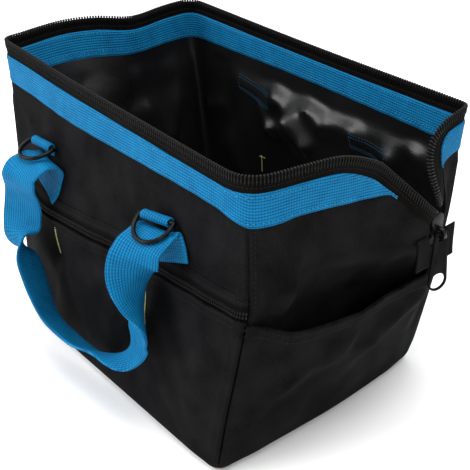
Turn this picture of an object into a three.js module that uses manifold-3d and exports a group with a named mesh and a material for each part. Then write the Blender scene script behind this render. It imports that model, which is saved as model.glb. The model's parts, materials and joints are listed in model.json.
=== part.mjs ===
// Soft tool bag with an unzipped mouth, webbing handles, a zipped front pocket and an end pocket.
// Millimetres. +X points to the end with the zip tail, -Y to the front, +Z up.
// The origin is the middle of the base, on the ground.
import * as THREE from "three";
import Module from "manifold-3d";

const wasm = await Module();
wasm.setup();

// Cloth, webbing and gaps
const CLOTH = 2;
const POCKET_CLOTH = 1.6;
const BAND_THICK = 3.2;
const TAPE_THICK = 1.4;
const COIL_THICK = 3.4;
const GAP = 0.3;
const SEAM_TRIM = 0.0022;
const LAYER_GAP = 0.5;
const END_EDGE_GAP = 0.6;

// Base plate and the rounded foot of the walls
const BASE_THICK = 2.5;
const BASE_INSET = 3.4;
const FOOT_ROUND = 10;
const WALL_FOOT = BASE_THICK + GAP;

// Mouth strip: shares of the zip's height taken by the tape and by the coil
const TAPE_SHARE = 0.47;
const ZIP_TALL = 12;
const BAND_SEAM_T = 0.53;

// Webbing handle and ring fittings
const STRAP_WIDE = 36;
const STRAP_THICK = 1.8;
const TAB_WIDE = 23;
const TAB_THICK = 1.6;
const TAB_TAIL = 7;
const RING_WIRE = 1.6;
const RING_PLAY = 0.4;
const RING_INSIDE = 26;
const RING_DEPTH = 20;
const BACK_HANDLE_SHIFT = -14;

// Zip slider, pull and tail
const SLIDER_LONG = 20;
const SLIDER_WIDE = 12;
const SLIDER_THICK = 8;
const TAIL_LEAN_DEG = 12;
const PULL_LEAN_DEG = 2;
const SLIDER_AT = { y: 59.5, z: 160.3 };
const BAIL = { wide: 3, wire: 2, insideLong: 5, insideTall: 3.6 };
const PULL = {
  long: 49, topWide: 11, endRadius: 8.2, hole: 6.5, thick: 1.8, slotWide: 5.6, slotLong: 4.6, bar: 2.2,
};
const END_TAB = { wide: 36, tall: 32, thick: 3 };
const ZIP_TAIL = { wide: 24, tall: 3, thick: 2 };

// Corner lines of the body: A front left, B back left, C back right, D front right
const CORNER_ROWS = [
  { z: 0, ax: -127.5, ay: -105, bx: -127, by: 104.5, cx: 119.5, cy: 105, dx: 131.5, dy: -108.5 },
  { z: 50, ax: -136, ay: -101.5, bx: -136.5, by: 104, cx: 129.5, cy: 105, dx: 135, dy: -102.5 },
  { z: 100, ax: -144, ay: -98.5, bx: -146, by: 104, cx: 137.5, cy: 106, dx: 143, dy: -99.5 },
  { z: 145, ax: -150, ay: -96, bx: -155, by: 104, cx: 144, cy: 106.5, dx: 148, dy: -96.5 },
  { z: 200, ax: -158.5, ay: -92.5, bx: -165, by: 103, cx: 149, cy: 105, dx: 142.5, dy: -93.5 },
  { z: 240, ax: -166.5, ay: -91.5, bx: -168, by: 102.5, cx: 153.5, cy: 104, dx: 141.5, dy: -91.5 },
];

// Rounding of each corner line
const ROUND_ROWS = [
  { z: 0, a: 12, b: 12, c: 12, d: 9 },
  { z: 50, a: 12, b: 12, c: 11, d: 10 },
  { z: 100, a: 11, b: 12, c: 10, d: 11 },
  { z: 145, a: 11, b: 12, c: 10, d: 12 },
  { z: 200, a: 11, b: 14, c: 11, d: 20 },
  { z: 240, a: 12, b: 16, c: 12, d: 22 },
];

// Each wall runs between two corner lines, seen from above against the clock
const WALLS = {
  front: { from: "a", to: "d", along: "x" },
  right: { from: "d", to: "c", along: "y" },
  back: { from: "c", to: "b", along: "x" },
  left: { from: "b", to: "a", along: "y" },
};

// Soft swells and dents of each wall: place along the wall, height, push outwards, half sizes
const BODY_SWELLS = {
  front: [{ at: -60, z: 115, out: 5, wide: 75, tall: 60 }],
  right: [{ at: 10, z: 0, out: 3, wide: 62, tall: 55 }],
  back: [{ at: -5, z: 95, out: 5, wide: 110, tall: 70 }],
  left: [
    { at: 0, z: 90, out: 4, wide: 70, tall: 70 },
    { at: -32, z: 236, out: 5, wide: 34, tall: 60 },
    { at: 26, z: 236, out: -11, wide: 32, tall: 70 },
  ],
};
const WALL_SWELLS = {
  front: [],
  right: [
    { at: 48, z: 165, out: 24, wide: 36, tall: 38 },
    { at: -10, z: 215, out: 9, wide: 52, tall: 70 },
    { at: 0, z: 128, out: -9, wide: 62, tall: 30 },
  ],
  back: [{ at: 20, z: 150, out: -4, wide: 45, tall: 40 }],
  left: [],
};

// Broad folds: a line on the wall, how far the cloth stands out along it, half width
const WALL_FOLDS = {
  front: [],
  right: [
    { fromAt: -72, fromZ: 190, toAt: -62, toZ: 140, out: 4, half: 10 },
    { fromAt: -30, fromZ: 158, toAt: 70, toZ: 136, out: 4, half: 11 },
  ],
  back: [{ fromAt: 30, fromZ: 130, toAt: -20, toZ: 40, out: -3, half: 16 }],
  left: [],
};
const FRONT_POCKET_FOLDS = [
  { fromAt: -70, fromZ: 92, toAt: -52, toZ: 34, out: -2, half: 12 },
  { fromAt: 112, fromZ: 105, toAt: 104, toZ: 20, out: 2.5, half: 13 },
];
const END_POCKET_FOLDS = [
  { fromAt: -34, fromZ: 80, toAt: -76, toZ: 40, out: -4, half: 11 },
  { fromAt: -20, fromZ: 88, toAt: -58, toZ: 62, out: 4, half: 10 },
  { fromAt: 0, fromZ: 70, toAt: 70, toZ: 95, out: 4.5, half: 13 },
];

// Lower edge of the mouth band and top of the zip along each wall
const MOUTH_ROWS = {
  left: [
    { t: 0, low: 201, top: 235.5 },
    { t: 0.38, low: 203, top: 236 },
    { t: 0.55, low: 205, top: 240 },
    { t: 1, low: 206, top: 239 },
  ],
  front: [
    { t: 0, low: 206, top: 239 },
    { t: 0.12, low: 205, top: 238 },
    { t: 0.32, low: 201, top: 235 },
    { t: 0.62, low: 201.5, top: 232.5 },
    { t: 0.9, low: 201.5, top: 230.5 },
    { t: 1, low: 196, top: 231.5 },
  ],
  back: [
    { t: 0, low: 200, top: 235 },
    { t: 0.5, low: 203, top: 234 },
    { t: 1, low: 201, top: 235.5 },
  ],
};

// The mouth on the right end: zip top, tape foot and band foot, which dive together to the slider
const RIGHT_FRONT_ROWS = [
  { topY: -86, topZ: 231.5, tapeY: -86, tapeZ: 219.5, lowY: -86, lowZ: 196 },
  { topY: -70, topZ: 232, tapeY: -70, tapeZ: 220, lowY: -70, lowZ: 197 },
  { topY: -50, topZ: 233, tapeY: -50, tapeZ: 221, lowY: -50, lowZ: 198 },
  { topY: -21, topZ: 232, tapeY: -23, tapeZ: 220.5, lowY: -22, lowZ: 197 },
  { topY: 10, topZ: 219.5, tapeY: 3, tapeZ: 209.5, lowY: 4, lowZ: 195.5 },
  { topY: 26, topZ: 205.5, tapeY: 17.5, tapeZ: 197.3, lowY: 18, lowZ: 194 },
  { topY: 31, topZ: 200.5, tapeY: 22.5, tapeZ: 192.5, lowY: 21.8, lowZ: 191 },
  { topY: 40, topZ: 191, tapeY: 31.5, tapeZ: 182.5 },
  { topY: 50, topZ: 180, tapeY: 41.5, tapeZ: 172 },
  { topY: 57, topZ: 174, tapeY: 48, tapeZ: 165.6 },
];
const RIGHT_BACK_ROWS = [
  { topY: 95, topZ: 234.5, tapeY: 95, tapeZ: 222.5, lowY: 95, lowZ: 200 },
  { topY: 88, topZ: 232.5, tapeY: 88, tapeZ: 221, lowY: 88, lowZ: 199 },
  { topY: 77, topZ: 229.5, tapeY: 80, tapeZ: 218, lowY: 80, lowZ: 198 },
  { topY: 63, topZ: 222, tapeY: 75, tapeZ: 211, lowY: 76, lowZ: 197 },
  { topY: 56, topZ: 211, tapeY: 73.6, tapeZ: 204, lowY: 74.2, lowZ: 196.5 },
  { topY: 54, topZ: 202, tapeY: 73.6, tapeZ: 199, lowY: 73.8, lowZ: 196.3 },
  { topY: 55, topZ: 192, tapeY: 73.6, tapeZ: 190 },
  { topY: 58.5, topZ: 181, tapeY: 73.6, tapeZ: 180 },
  { topY: 62, topZ: 174, tapeY: 73.6, tapeZ: 172 },
];
const NOTCH_ROWS = [
  { y: 30, z: 183.4 },
  { y: 41, z: 171.8 },
  { y: 48, z: 164.6 },
  { y: 54, z: 148.3 },
  { y: 73, z: 148.3 },
  { y: 74.1, z: 195.8 },
];

// Hem of the end pocket: height along the wall and how far it sags outwards
const END_HEM_ROWS = [
  { y: -93, z: 130, out: 0 },
  { y: -68, z: 121, out: 13 },
  { y: -12, z: 114, out: 17 },
  { y: 22, z: 113, out: 15 },
  { y: 69, z: 108, out: 9 },
  { y: 102, z: 99, out: 0 },
];
const HEM_TALL = 9;
const HEM_EXTRA = 1.2;
const POCKET_FOOT_OUT = 1.5;

// Closed zip over the front pocket: height along the wall
const POCKET_ZIP_ROWS = [
  { t: 0, z: 116 },
  { t: 0.2, z: 114 },
  { t: 0.45, z: 120 },
  { t: 0.75, z: 126.5 },
  { t: 1, z: 132 },
];
const POCKET_ZIP_TALL = 12;
const POCKET_ZIP_THICK = 2.4;
const POCKET_LIFT = 3.2;
const POCKET_SLIDER = { at: -118, long: 13, tall: 9, thick: 4 };

// Front handle: middle of the strap as place along the wall, distance off the wall and height,
// with the direction towards the edge on the inside of the loop
const HANDLE_ROWS = [
  { at: -95, off: 1.4, z: 138, wx: 0.87, wy: 0, wz: -0.48 },
  { at: -88.5, off: 1.4, z: 150, wx: 0.89, wy: 0, wz: -0.44 },
  { at: -84.5, off: 2.4, z: 161.8, wx: 0.96, wy: 0, wz: -0.25 },
  { at: -84, off: 7, z: 165.3, wx: 1, wy: 0.05, wz: -0.05 },
  { at: -85, off: 14, z: 166.4, wx: 0.99, wy: 0.1, wz: 0 },
  { at: -87, off: 21, z: 163.8, wx: 0.98, wy: 0.15, wz: 0 },
  { at: -89, off: 26.5, z: 158.8, wx: 0.97, wy: 0.2, wz: -0.03 },
  { at: -90.2, off: 28, z: 151.5, wx: 0.97, wy: 0.2, wz: -0.1 },
  { at: -94.5, off: 22, z: 136.5, wx: 0.95, wy: 0.25, wz: -0.2 },
  { at: -98.3, off: 19.3, z: 121, wx: 0.86, wy: 0.48, wz: -0.14 },
  { at: -98, off: 20.6, z: 110.4, wx: 0.87, wy: 0.48, wz: -0.05 },
  { at: -94.7, off: 25, z: 101.7, wx: 0.9, wy: 0.3, wz: 0.25 },
  { at: -89.5, off: 28, z: 92.8, wx: 0.7, wy: -0.42, wz: 0.56 },
  { at: -81.5, off: 28.8, z: 81.8, wx: 0.62, wy: -0.6, wz: 0.51 },
  { at: -65.5, off: 29, z: 62.1, wx: 0.57, wy: -0.63, wz: 0.52 },
  { at: -54, off: 28.5, z: 52.9, wx: 0.48, wy: -0.68, wz: 0.56 },
  { at: -42.7, off: 27.2, z: 47, wx: 0.37, wy: -0.73, wz: 0.57 },
  { at: -18, off: 24, z: 41.6, wx: 0.14, wy: -0.81, wz: 0.57 },
  { at: -2, off: 23.2, z: 42.3, wx: 0, wy: -0.8, wz: 0.6 },
  { at: 17, off: 22, z: 48.8, wx: -0.02, wy: -0.82, wz: 0.57 },
  { at: 34.5, off: 20.3, z: 57, wx: 0.3, wy: -0.85, wz: 0.42 },
  { at: 46, off: 18.8, z: 66, wx: 0.8, wy: -0.55, wz: -0.2 },
  { at: 52.2, off: 17.6, z: 77, wx: 0.98, wy: -0.16, wz: -0.1 },
  { at: 55.8, off: 17.2, z: 86.5, wx: 0.97, wy: -0.22, wz: -0.08 },
  { at: 59.8, off: 17.2, z: 95, wx: 0.87, wy: -0.48, wz: -0.04 },
  { at: 60.3, off: 18.6, z: 103.5, wx: 0.77, wy: -0.63, wz: -0.03 },
  { at: 58.8, off: 21, z: 111.8, wx: 0.62, wy: -0.78, wz: -0.05 },
  { at: 57.4, off: 23.5, z: 120.2, wx: 0.44, wy: -0.89, wz: -0.06 },
  { at: 56.6, off: 25.3, z: 129, wx: 0.22, wy: -0.97, wz: -0.05 },
  { at: 57.2, off: 26.8, z: 137, wx: 0, wy: -1, wz: -0.02 },
  { at: 59.3, off: 27.8, z: 144.5, wx: -0.48, wy: -0.87, wz: 0.02 },
  { at: 62, off: 28, z: 152, wx: -0.86, wy: -0.5, wz: 0 },
  { at: 62.5, off: 25, z: 159.5, wx: -0.93, wy: -0.36, wz: 0 },
  { at: 62, off: 17, z: 164.3, wx: -0.95, wy: -0.3, wz: 0 },
  { at: 61.5, off: 9, z: 166.5, wx: -0.955, wy: -0.24, wz: 0 },
  { at: 62, off: 3.4, z: 164, wx: -0.96, wy: -0.15, wz: -0.05 },
  { at: 65, off: 1.4, z: 157.5, wx: -0.97, wy: 0, wz: -0.2 },
  { at: 70, off: 1.4, z: 144, wx: -1, wy: 0, wz: -0.05 },
];

// Ring fittings: place along the wall, turn of the roll, how far the ring swings out from straight down
const RING_ROWS = [
  { name: "front_left", wall: "front", at: -94, z: 174.5, yawDeg: 4, swingDeg: 75 },
  { name: "front_right", wall: "front", at: 58.5, z: 174.5, yawDeg: 17, swingDeg: 60 },
  { name: "back_left", wall: "back", at: -72.5, z: 174.5, yawDeg: 17, swingDeg: 60 },
  { name: "back_right", wall: "back", at: 80, z: 174.5, yawDeg: 4, swingDeg: 75 },
];

// Finishes
function finish(color, roughness, metalness) {
  return new THREE.MeshStandardMaterial({ color, roughness, metalness });
}

const CANVAS = finish(0x1c1c1e, 0.85, 0);
const WEBBING_BLUE = finish(0x2396d7, 0.7, 0);
const WEBBING_BLACK = finish(0x202022, 0.75, 0);
const ZIP_TAPE = finish(0x1a1816, 0.85, 0);
const ZIP_COIL = finish(0x17171a, 0.45, 0);
const BLACK_METAL = finish(0x2a2a2c, 0.35, 0.9);
const BLACK_PAINT = finish(0x141416, 0.4, 0.3);

// Table reading

/** Smooth value of one column of a table at a place, with flat ends. */
function readTable(rows, placeKey, key, place) {
  const last = rows.length - 1;
  if (place <= rows[0][placeKey]) return rows[0][key];
  if (place >= rows[last][placeKey]) return rows[last][key];
  const i = rows.findIndex((row) => row[placeKey] > place) - 1;
  const slope = (j) => {
    const low = rows[Math.max(j - 1, 0)];
    const high = rows[Math.min(j + 1, last)];
    return (high[key] - low[key]) / (high[placeKey] - low[placeKey]);
  };
  const a = rows[i];
  const b = rows[i + 1];
  const span = b[placeKey] - a[placeKey];
  const u = (place - a[placeKey]) / span;
  const h00 = (1 + 2 * u) * (1 - u) ** 2;
  const h10 = u * (1 - u) ** 2;
  const h01 = u * u * (3 - 2 * u);
  const h11 = u * u * (u - 1);
  return h00 * a[key] + h10 * span * slope(i) + h01 * b[key] + h11 * span * slope(i + 1);
}

const easeIn = (value, width) => THREE.MathUtils.smoothstep(value, 0, width);
const bell = (distance, half) => Math.exp(-((distance / half) ** 2));

/** Push of all the broad folds at a place on a wall. */
function foldPush(folds, at, z) {
  let push = 0;
  for (const fold of folds) {
    const run = new THREE.Vector2(fold.toAt - fold.fromAt, fold.toZ - fold.fromZ);
    const rel = new THREE.Vector2(at - fold.fromAt, z - fold.fromZ);
    const share = THREE.MathUtils.clamp(rel.dot(run) / run.lengthSq(), 0, 1);
    push += fold.out * bell(rel.sub(run.multiplyScalar(share)).length(), fold.half);
  }
  return push;
}

/** Push of all the soft swells at a place on a wall. */
function swellPush(swells, at, z) {
  return swells.reduce((sum, s) => sum + s.out * bell(at - s.at, s.wide) * bell(z - s.z, s.tall), 0);
}

// Body surface

const EDGE_FADE = 34;

/** A corner of the body at a height, drawn in where the foot is rounded. */
function cornerAt(name, z) {
  const x = readTable(CORNER_ROWS, "z", `${name}x`, z);
  const y = readTable(CORNER_ROWS, "z", `${name}y`, z);
  const short = Math.max(FOOT_ROUND - z, 0);
  const inset = FOOT_ROUND - Math.sqrt(FOOT_ROUND ** 2 - short ** 2);
  return new THREE.Vector2(x - inset * Math.sign(x), y - inset * Math.sign(y));
}

/** The corner before and after a wall's own two, which shape its rounded ends. */
function wallCorners(wall) {
  const order = ["a", "d", "c", "b"];
  const i = order.indexOf(WALLS[wall].from);
  return { before: order[(i + 3) % 4], from: order[i], to: order[(i + 1) % 4], after: order[(i + 2) % 4] };
}

/** Point on the outside of a wall. t runs from one corner seam to the next. */
function wallPoint(wall, t, z, pushAt) {
  const names = wallCorners(wall);
  const from = cornerAt(names.from, z);
  const to = cornerAt(names.to, z);
  const length = from.distanceTo(to);
  const along = to.clone().sub(from).divideScalar(length);
  const u = t * length;
  const flat = from.clone().addScaledVector(along, u);
  const roundFrom = readTable(ROUND_ROWS, "z", names.from, z);
  const roundTo = readTable(ROUND_ROWS, "z", names.to, z);
  const turn = (corner, neighbour, inward, run, round) => {
    const back = neighbour.clone().sub(corner).normalize();
    const share = 0.5 + (0.5 * run) / round;
    const rest = 1 - share;
    return corner.clone()
      .addScaledVector(back, rest * rest * round)
      .addScaledVector(inward, share * share * round);
  };
  let point = flat.clone();
  const left = length - u;
  if (u < roundFrom) point = turn(from, cornerAt(names.before, z), along, u, roundFrom);
  else if (left < roundTo) point = turn(to, cornerAt(names.after, z), along.clone().negate(), left, roundTo);
  const place = WALLS[wall].along === "x" ? flat.x : flat.y;
  const fade = easeIn(u, EDGE_FADE) * easeIn(left, EDGE_FADE);
  const push = pushAt(place, z) * fade;
  return new THREE.Vector3(point.x + along.y * push, point.y - along.x * push, z);
}

/** Share of the way along a wall at a place given in millimetres. */
function shareAt(wall, place, z) {
  const axis = WALLS[wall].along;
  const from = cornerAt(WALLS[wall].from, z)[axis];
  const to = cornerAt(WALLS[wall].to, z)[axis];
  return (place - from) / (to - from);
}

const bodyPush = (wall) => (at, z) => swellPush(BODY_SWELLS[wall], at, z);
const wallPush = (wall) => (at, z) => swellPush(BODY_SWELLS[wall], at, z)
  + swellPush(WALL_SWELLS[wall], at, z) + foldPush(WALL_FOLDS[wall], at, z);
const skin = (wall, t, z) => wallPoint(wall, t, z, wallPush(wall));

/** Point of a surface together with its outward normal. */
function withNormal(surface, t, z) {
  const stepT = 0.002;
  const stepZ = 0.4;
  const t0 = Math.max(t - stepT, 0);
  const t1 = Math.min(t + stepT, 1);
  const across = surface(t1, z).sub(surface(t0, z));
  const up = surface(t, z + stepZ).sub(surface(t, z - stepZ));
  return { p: surface(t, z), n: across.cross(up).normalize() };
}

// Solids from sections

/** Closed solid from columns of outer and inner points; each column runs upwards. */
function sheetSolid(columns) {
  const rows = columns[0].length;
  const positions = [];
  for (const column of columns) for (const { outer } of column) positions.push(...outer.toArray());
  for (const column of columns) for (const { inner } of column) positions.push(...inner.toArray());
  const half = columns.length * rows;
  const out = (i, j) => i * rows + j;
  const inn = (i, j) => half + i * rows + j;
  const index = [];
  const quad = (a, b, c, d) => index.push(a, b, c, a, c, d);
  const lastI = columns.length - 1;
  const lastJ = rows - 1;
  for (let i = 0; i < lastI; i += 1) {
    for (let j = 0; j < lastJ; j += 1) {
      quad(out(i, j), out(i + 1, j), out(i + 1, j + 1), out(i, j + 1));
      quad(inn(i, j), inn(i, j + 1), inn(i + 1, j + 1), inn(i + 1, j));
    }
    quad(inn(i, 0), inn(i + 1, 0), out(i + 1, 0), out(i, 0));
    quad(out(i, lastJ), out(i + 1, lastJ), inn(i + 1, lastJ), inn(i, lastJ));
  }
  for (let j = 0; j < lastJ; j += 1) {
    quad(inn(0, j), out(0, j), out(0, j + 1), inn(0, j + 1));
    quad(out(lastI, j), inn(lastI, j), inn(lastI, j + 1), out(lastI, j + 1));
  }
  const geometry = new THREE.BufferGeometry();
  geometry.setAttribute("position", new THREE.Float32BufferAttribute(positions, 3));
  geometry.setIndex(index);
  return geometry;
}

/** Outer and inner point of a layer of cloth lying between two distances off a surface. */
function layer(surface, t, z, outside, inside) {
  const { p, n } = withNormal(surface, t, z);
  return { outer: p.clone().addScaledVector(n, outside), inner: p.clone().addScaledVector(n, inside) };
}

/** Closed solid of a flat strap from stations with its middle, edge direction and facing. */
function strapSolid(stations, wide, thick, settle) {
  const columns = stations.map(({ middle, side, facing }) => [-0.5, 0, 0.5].map((share) => {
    const p = settle(middle.clone().addScaledVector(side, share * wide));
    const half = facing.clone().multiplyScalar(thick / 2);
    return { outer: p.clone().add(half), inner: p.clone().sub(half) };
  }));
  return sheetSolid(columns);
}

/** Closed ring of round wire along a closed path of points. */
function wireLoop(points, planeNormal, radius, sides) {
  const count = points.length;
  const positions = [];
  const index = [];
  points.forEach((point, i) => {
    const ahead = points[(i + 1) % count].clone().sub(points[(i + count - 1) % count]).normalize();
    const outward = ahead.clone().cross(planeNormal);
    for (let k = 0; k < sides; k += 1) {
      const angle = (2 * Math.PI * k) / sides;
      const p = point.clone()
        .addScaledVector(outward, radius * Math.cos(angle))
        .addScaledVector(planeNormal, radius * Math.sin(angle));
      positions.push(...p.toArray());
      const next = ((i + 1) % count) * sides;
      const k1 = (k + 1) % sides;
      index.push(i * sides + k, next + k, next + k1, i * sides + k, next + k1, i * sides + k1);
    }
  });
  const geometry = new THREE.BufferGeometry();
  geometry.setAttribute("position", new THREE.Float32BufferAttribute(positions, 3));
  geometry.setIndex(index);
  return geometry;
}

/** Solid of the boolean library from a closed geometry. */
function toManifold(geometry) {
  const plain = geometry.index ? geometry.toNonIndexed() : geometry;
  const source = plain.getAttribute("position");
  const vertProperties = new Float32Array(source.array);
  const triVerts = Uint32Array.from({ length: source.count }, (_, i) => i);
  const mesh = new wasm.Mesh({ numProp: 3, vertProperties, triVerts });
  mesh.merge();
  return new wasm.Manifold(mesh);
}

/** Geometry of a boolean result. */
function fromManifold(solid) {
  const mesh = solid.getMesh();
  const geometry = new THREE.BufferGeometry();
  geometry.setAttribute("position", new THREE.Float32BufferAttribute(mesh.vertProperties, 3));
  geometry.setIndex(Array.from(mesh.triVerts));
  return geometry;
}

const bag = new THREE.Group();

/** Adds a named piece to a group. */
function addPiece(name, geometry, material, group = bag) {
  const mesh = new THREE.Mesh(geometry, material);
  mesh.name = name;
  group.add(mesh);
  return mesh;
}

// Walls and base

const CORNER_SHARES = [SEAM_TRIM, 0.022, 0.045, 0.072];
const FOOT_ROWS = [WALL_FOOT, 4.6, 7, 11];
const POCKET_FOOT_ROWS = [5, 7, 11];

/** Shares along a wall, closer together at the rounded corners. */
function wallShares(steps) {
  const first = CORNER_SHARES[CORNER_SHARES.length - 1];
  const middle = Array.from({ length: steps - 1 }, (_, i) => first + ((1 - 2 * first) * (i + 1)) / steps);
  return [...CORNER_SHARES, ...middle, ...CORNER_SHARES.map((t) => 1 - t).reverse()];
}

/** Heights from the foot to a top edge. */
function wallHeights(top, steps, footRows = FOOT_ROWS) {
  const first = footRows[footRows.length - 1];
  return [...footRows, ...Array.from({ length: steps }, (_, i) => first + ((top - first) * (i + 1)) / steps)];
}

const mouthLow = (wall, t) => readTable(MOUTH_ROWS[wall], "t", "low", t);
const mouthTop = (wall, t) => readTable(MOUTH_ROWS[wall], "t", "top", t);

function wallPanel(wall, steps, rowSteps) {
  const surface = (t, z) => skin(wall, t, z);
  return sheetSolid(wallShares(steps).map((t) => wallHeights(mouthLow(wall, t) - GAP, rowSteps)
    .map((z) => layer(surface, t, z, 0, -CLOTH))));
}

/** Wall of the right end, whose top edge dips into a notch under the zip. */
function rightEndPanel(rowSteps) {
  const surface = (t, z) => skin("right", t, z);
  const underBand = [...RIGHT_FRONT_ROWS, ...RIGHT_BACK_ROWS]
    .filter((row) => row.lowZ !== undefined)
    .map((row) => ({ y: row.lowY, z: row.lowZ - END_EDGE_GAP }))
    .sort((a, b) => a.y - b.y);
  const notchStart = NOTCH_ROWS[0].y;
  const notchEnd = NOTCH_ROWS[NOTCH_ROWS.length - 1].y + 1;
  const edge = [
    ...underBand.filter(({ y }) => y < notchStart),
    ...NOTCH_ROWS,
    ...underBand.filter(({ y }) => y > notchEnd),
  ];
  const firstTop = edge[0].z;
  const lastTop = edge[edge.length - 1].z;
  const ends = CORNER_SHARES.slice(0, 3);
  const columns = [
    ...ends.map((t) => ({ t, top: firstTop })),
    ...edge.map(({ y, z }) => ({ t: shareAt("right", y, z), top: z })),
    ...ends.map((t) => ({ t: 1 - t, top: lastTop })).reverse(),
  ];
  return sheetSolid(columns.map(({ t, top }) => wallHeights(top, rowSteps)
    .map((z) => layer(surface, t, z, 0, -CLOTH))));
}

function basePanel() {
  const outline = [];
  for (const wall of Object.keys(WALLS)) {
    const surface = (t, z) => wallPoint(wall, t, z, bodyPush(wall));
    for (const t of wallShares(8).slice(0, -1)) outline.push(withNormal(surface, t, FOOT_ROUND));
  }
  const shape = new THREE.Shape(outline.map(({ p, n }) => {
    const flat = new THREE.Vector2(n.x, n.y).normalize();
    return new THREE.Vector2(p.x, p.y).addScaledVector(flat, -BASE_INSET);
  }));
  return new THREE.ExtrudeGeometry(shape, { depth: BASE_THICK, bevelEnabled: false });
}

addPiece("base_panel", basePanel(), CANVAS);
addPiece("front_panel", wallPanel("front", 12, 8), CANVAS);
addPiece("back_panel", wallPanel("back", 12, 8), CANVAS);
addPiece("left_end_panel", wallPanel("left", 10, 8), CANVAS);
addPiece("right_end_panel", rightEndPanel(9), CANVAS);

// Mouth band and zip

/** Stations along one half of the mouth: foot of the band, foot of the tape and top of the zip. */
function mouthStations(stretches, endRows) {
  const stations = [];
  for (const { wall, shares } of stretches) {
    for (const t of shares) {
      const top = mouthTop(wall, t);
      stations.push({ wall, low: [t, mouthLow(wall, t)], tape: [t, top - ZIP_TALL], top: [t, top] });
    }
  }
  for (const row of endRows) {
    const place = (y, z) => [shareAt("right", y, z), z];
    stations.push({
      wall: "right",
      low: row.lowZ === undefined ? undefined : place(row.lowY, row.lowZ),
      tape: place(row.tapeY, row.tapeZ),
      top: place(row.topY, row.topZ),
    });
  }
  return stations;
}

const mixPlace = (a, b, share) => [a[0] + (b[0] - a[0]) * share, a[1] + (b[1] - a[1]) * share];

/** A strip of the mouth between two shares of the way from one edge to another. */
function mouthStrip(stations, lowKey, highKey, fromShare, toShare, thick, rows) {
  const kept = stations.filter((station) => station[lowKey] !== undefined);
  const columns = kept.map((station) => {
    const surface = (t, z) => skin(station.wall, t, z);
    return Array.from({ length: rows + 1 }, (_, j) => {
      const share = fromShare + ((toShare - fromShare) * j) / rows;
      const [t, z] = mixPlace(station[lowKey], station[highKey], share);
      return layer(surface, t, z, (thick - CLOTH) / 2, -(thick + CLOTH) / 2);
    });
  });
  return sheetSolid(columns);
}

const cornerStart = [0, 0.022, 0.045, 0.072];
const cornerEnd = cornerStart.slice(1).map((t) => 1 - t).reverse();
const between = (from, to, steps) => Array.from(
  { length: steps },
  (_, i) => from + ((to - from) * (i + 1)) / (steps + 1),
);
const seamShift = GAP / 200;

const leftToA = [...between(BAND_SEAM_T, 0.925, 4), 0.928, ...cornerEnd.slice(1)];
const leftToB = [...between(BAND_SEAM_T, 0.072, 5), ...cornerStart.slice(1).reverse()];
const longWall = [...cornerStart, ...between(0.072, 0.928, 9), ...cornerEnd];
const FRONT_HALF = mouthStations([
  { wall: "left", shares: [BAND_SEAM_T + seamShift, ...leftToA] },
  { wall: "front", shares: longWall },
], RIGHT_FRONT_ROWS);
const BACK_HALF = mouthStations([
  { wall: "left", shares: [BAND_SEAM_T - seamShift, ...leftToB] },
  { wall: "back", shares: [...longWall, 1].reverse() },
], RIGHT_BACK_ROWS);

/** Adds the band, tape and coil of one half; the back half runs the other way round. */
function addMouthHalf(name, stations) {
  const run = name === "front" ? stations : [...stations].reverse();
  const clear = GAP / ZIP_TALL;
  const band = mouthStrip(run, "low", "tape", 0, 1 - GAP / 22, BAND_THICK, 2);
  const tape = mouthStrip(run, "tape", "top", 0, TAPE_SHARE - clear, TAPE_THICK, 1);
  const coil = mouthStrip(run, "tape", "top", TAPE_SHARE, 1, COIL_THICK, 1);
  addPiece(`mouth_band_${name}`, band, WEBBING_BLUE);
  addPiece(`zip_tape_${name}`, tape, ZIP_TAPE);
  addPiece(`zip_coil_${name}`, coil, ZIP_COIL);
}

addMouthHalf("front", FRONT_HALF);
addMouthHalf("back", BACK_HALF);

// Front pocket with its zip

const pocketZipFoot = (t) => readTable(POCKET_ZIP_ROWS, "t", "z", t);

/** Surface that the front pocket's inside follows, a little way off the wall. */
function frontPocketSurface(t, z) {
  const lift = (at, height) => bodyPush("front")(at, height)
    + POCKET_LIFT * bell(height - 60, 60) + foldPush(FRONT_POCKET_FOLDS, at, height);
  return wallPoint("front", t, z, lift);
}

function frontPocket() {
  return sheetSolid(wallShares(12).map((t) => wallHeights(pocketZipFoot(t) - GAP, 6, POCKET_FOOT_ROWS)
    .map((z) => layer(frontPocketSurface, t, z, LAYER_GAP + POCKET_CLOTH, LAYER_GAP))));
}

function pocketZip() {
  const surface = (t, z) => skin("front", t, z);
  return sheetSolid(wallShares(12).map((t) => [0, 0.5, 1].map((share) => {
    const rise = share === 0.5 ? POCKET_ZIP_THICK : POCKET_ZIP_THICK * 0.7;
    return layer(surface, t, pocketZipFoot(t) + share * POCKET_ZIP_TALL, GAP + rise, GAP);
  })));
}

function pocketZipSlider() {
  const { at, long, tall, thick } = POCKET_SLIDER;
  const middle = pocketZipFoot(shareAt("front", at, 120)) + POCKET_ZIP_TALL / 2;
  const surface = (t, z) => skin("front", t, z);
  const lift = GAP + POCKET_ZIP_THICK + GAP;
  const ends = [-long / 2, 0, long / 2].map((along) => shareAt("front", at + along, middle));
  return sheetSolid(ends.map((t) => [-tall / 2, 0, tall / 2]
    .map((rise) => layer(surface, t, middle + rise, lift + thick, lift))));
}

addPiece("front_pocket", frontPocket(), CANVAS);
addPiece("pocket_zip", pocketZip(), ZIP_TAPE);
addPiece("pocket_zip_slider", pocketZipSlider(), BLACK_METAL);

// End pocket

const hemHeight = (y) => readTable(END_HEM_ROWS, "y", "z", y);

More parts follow.
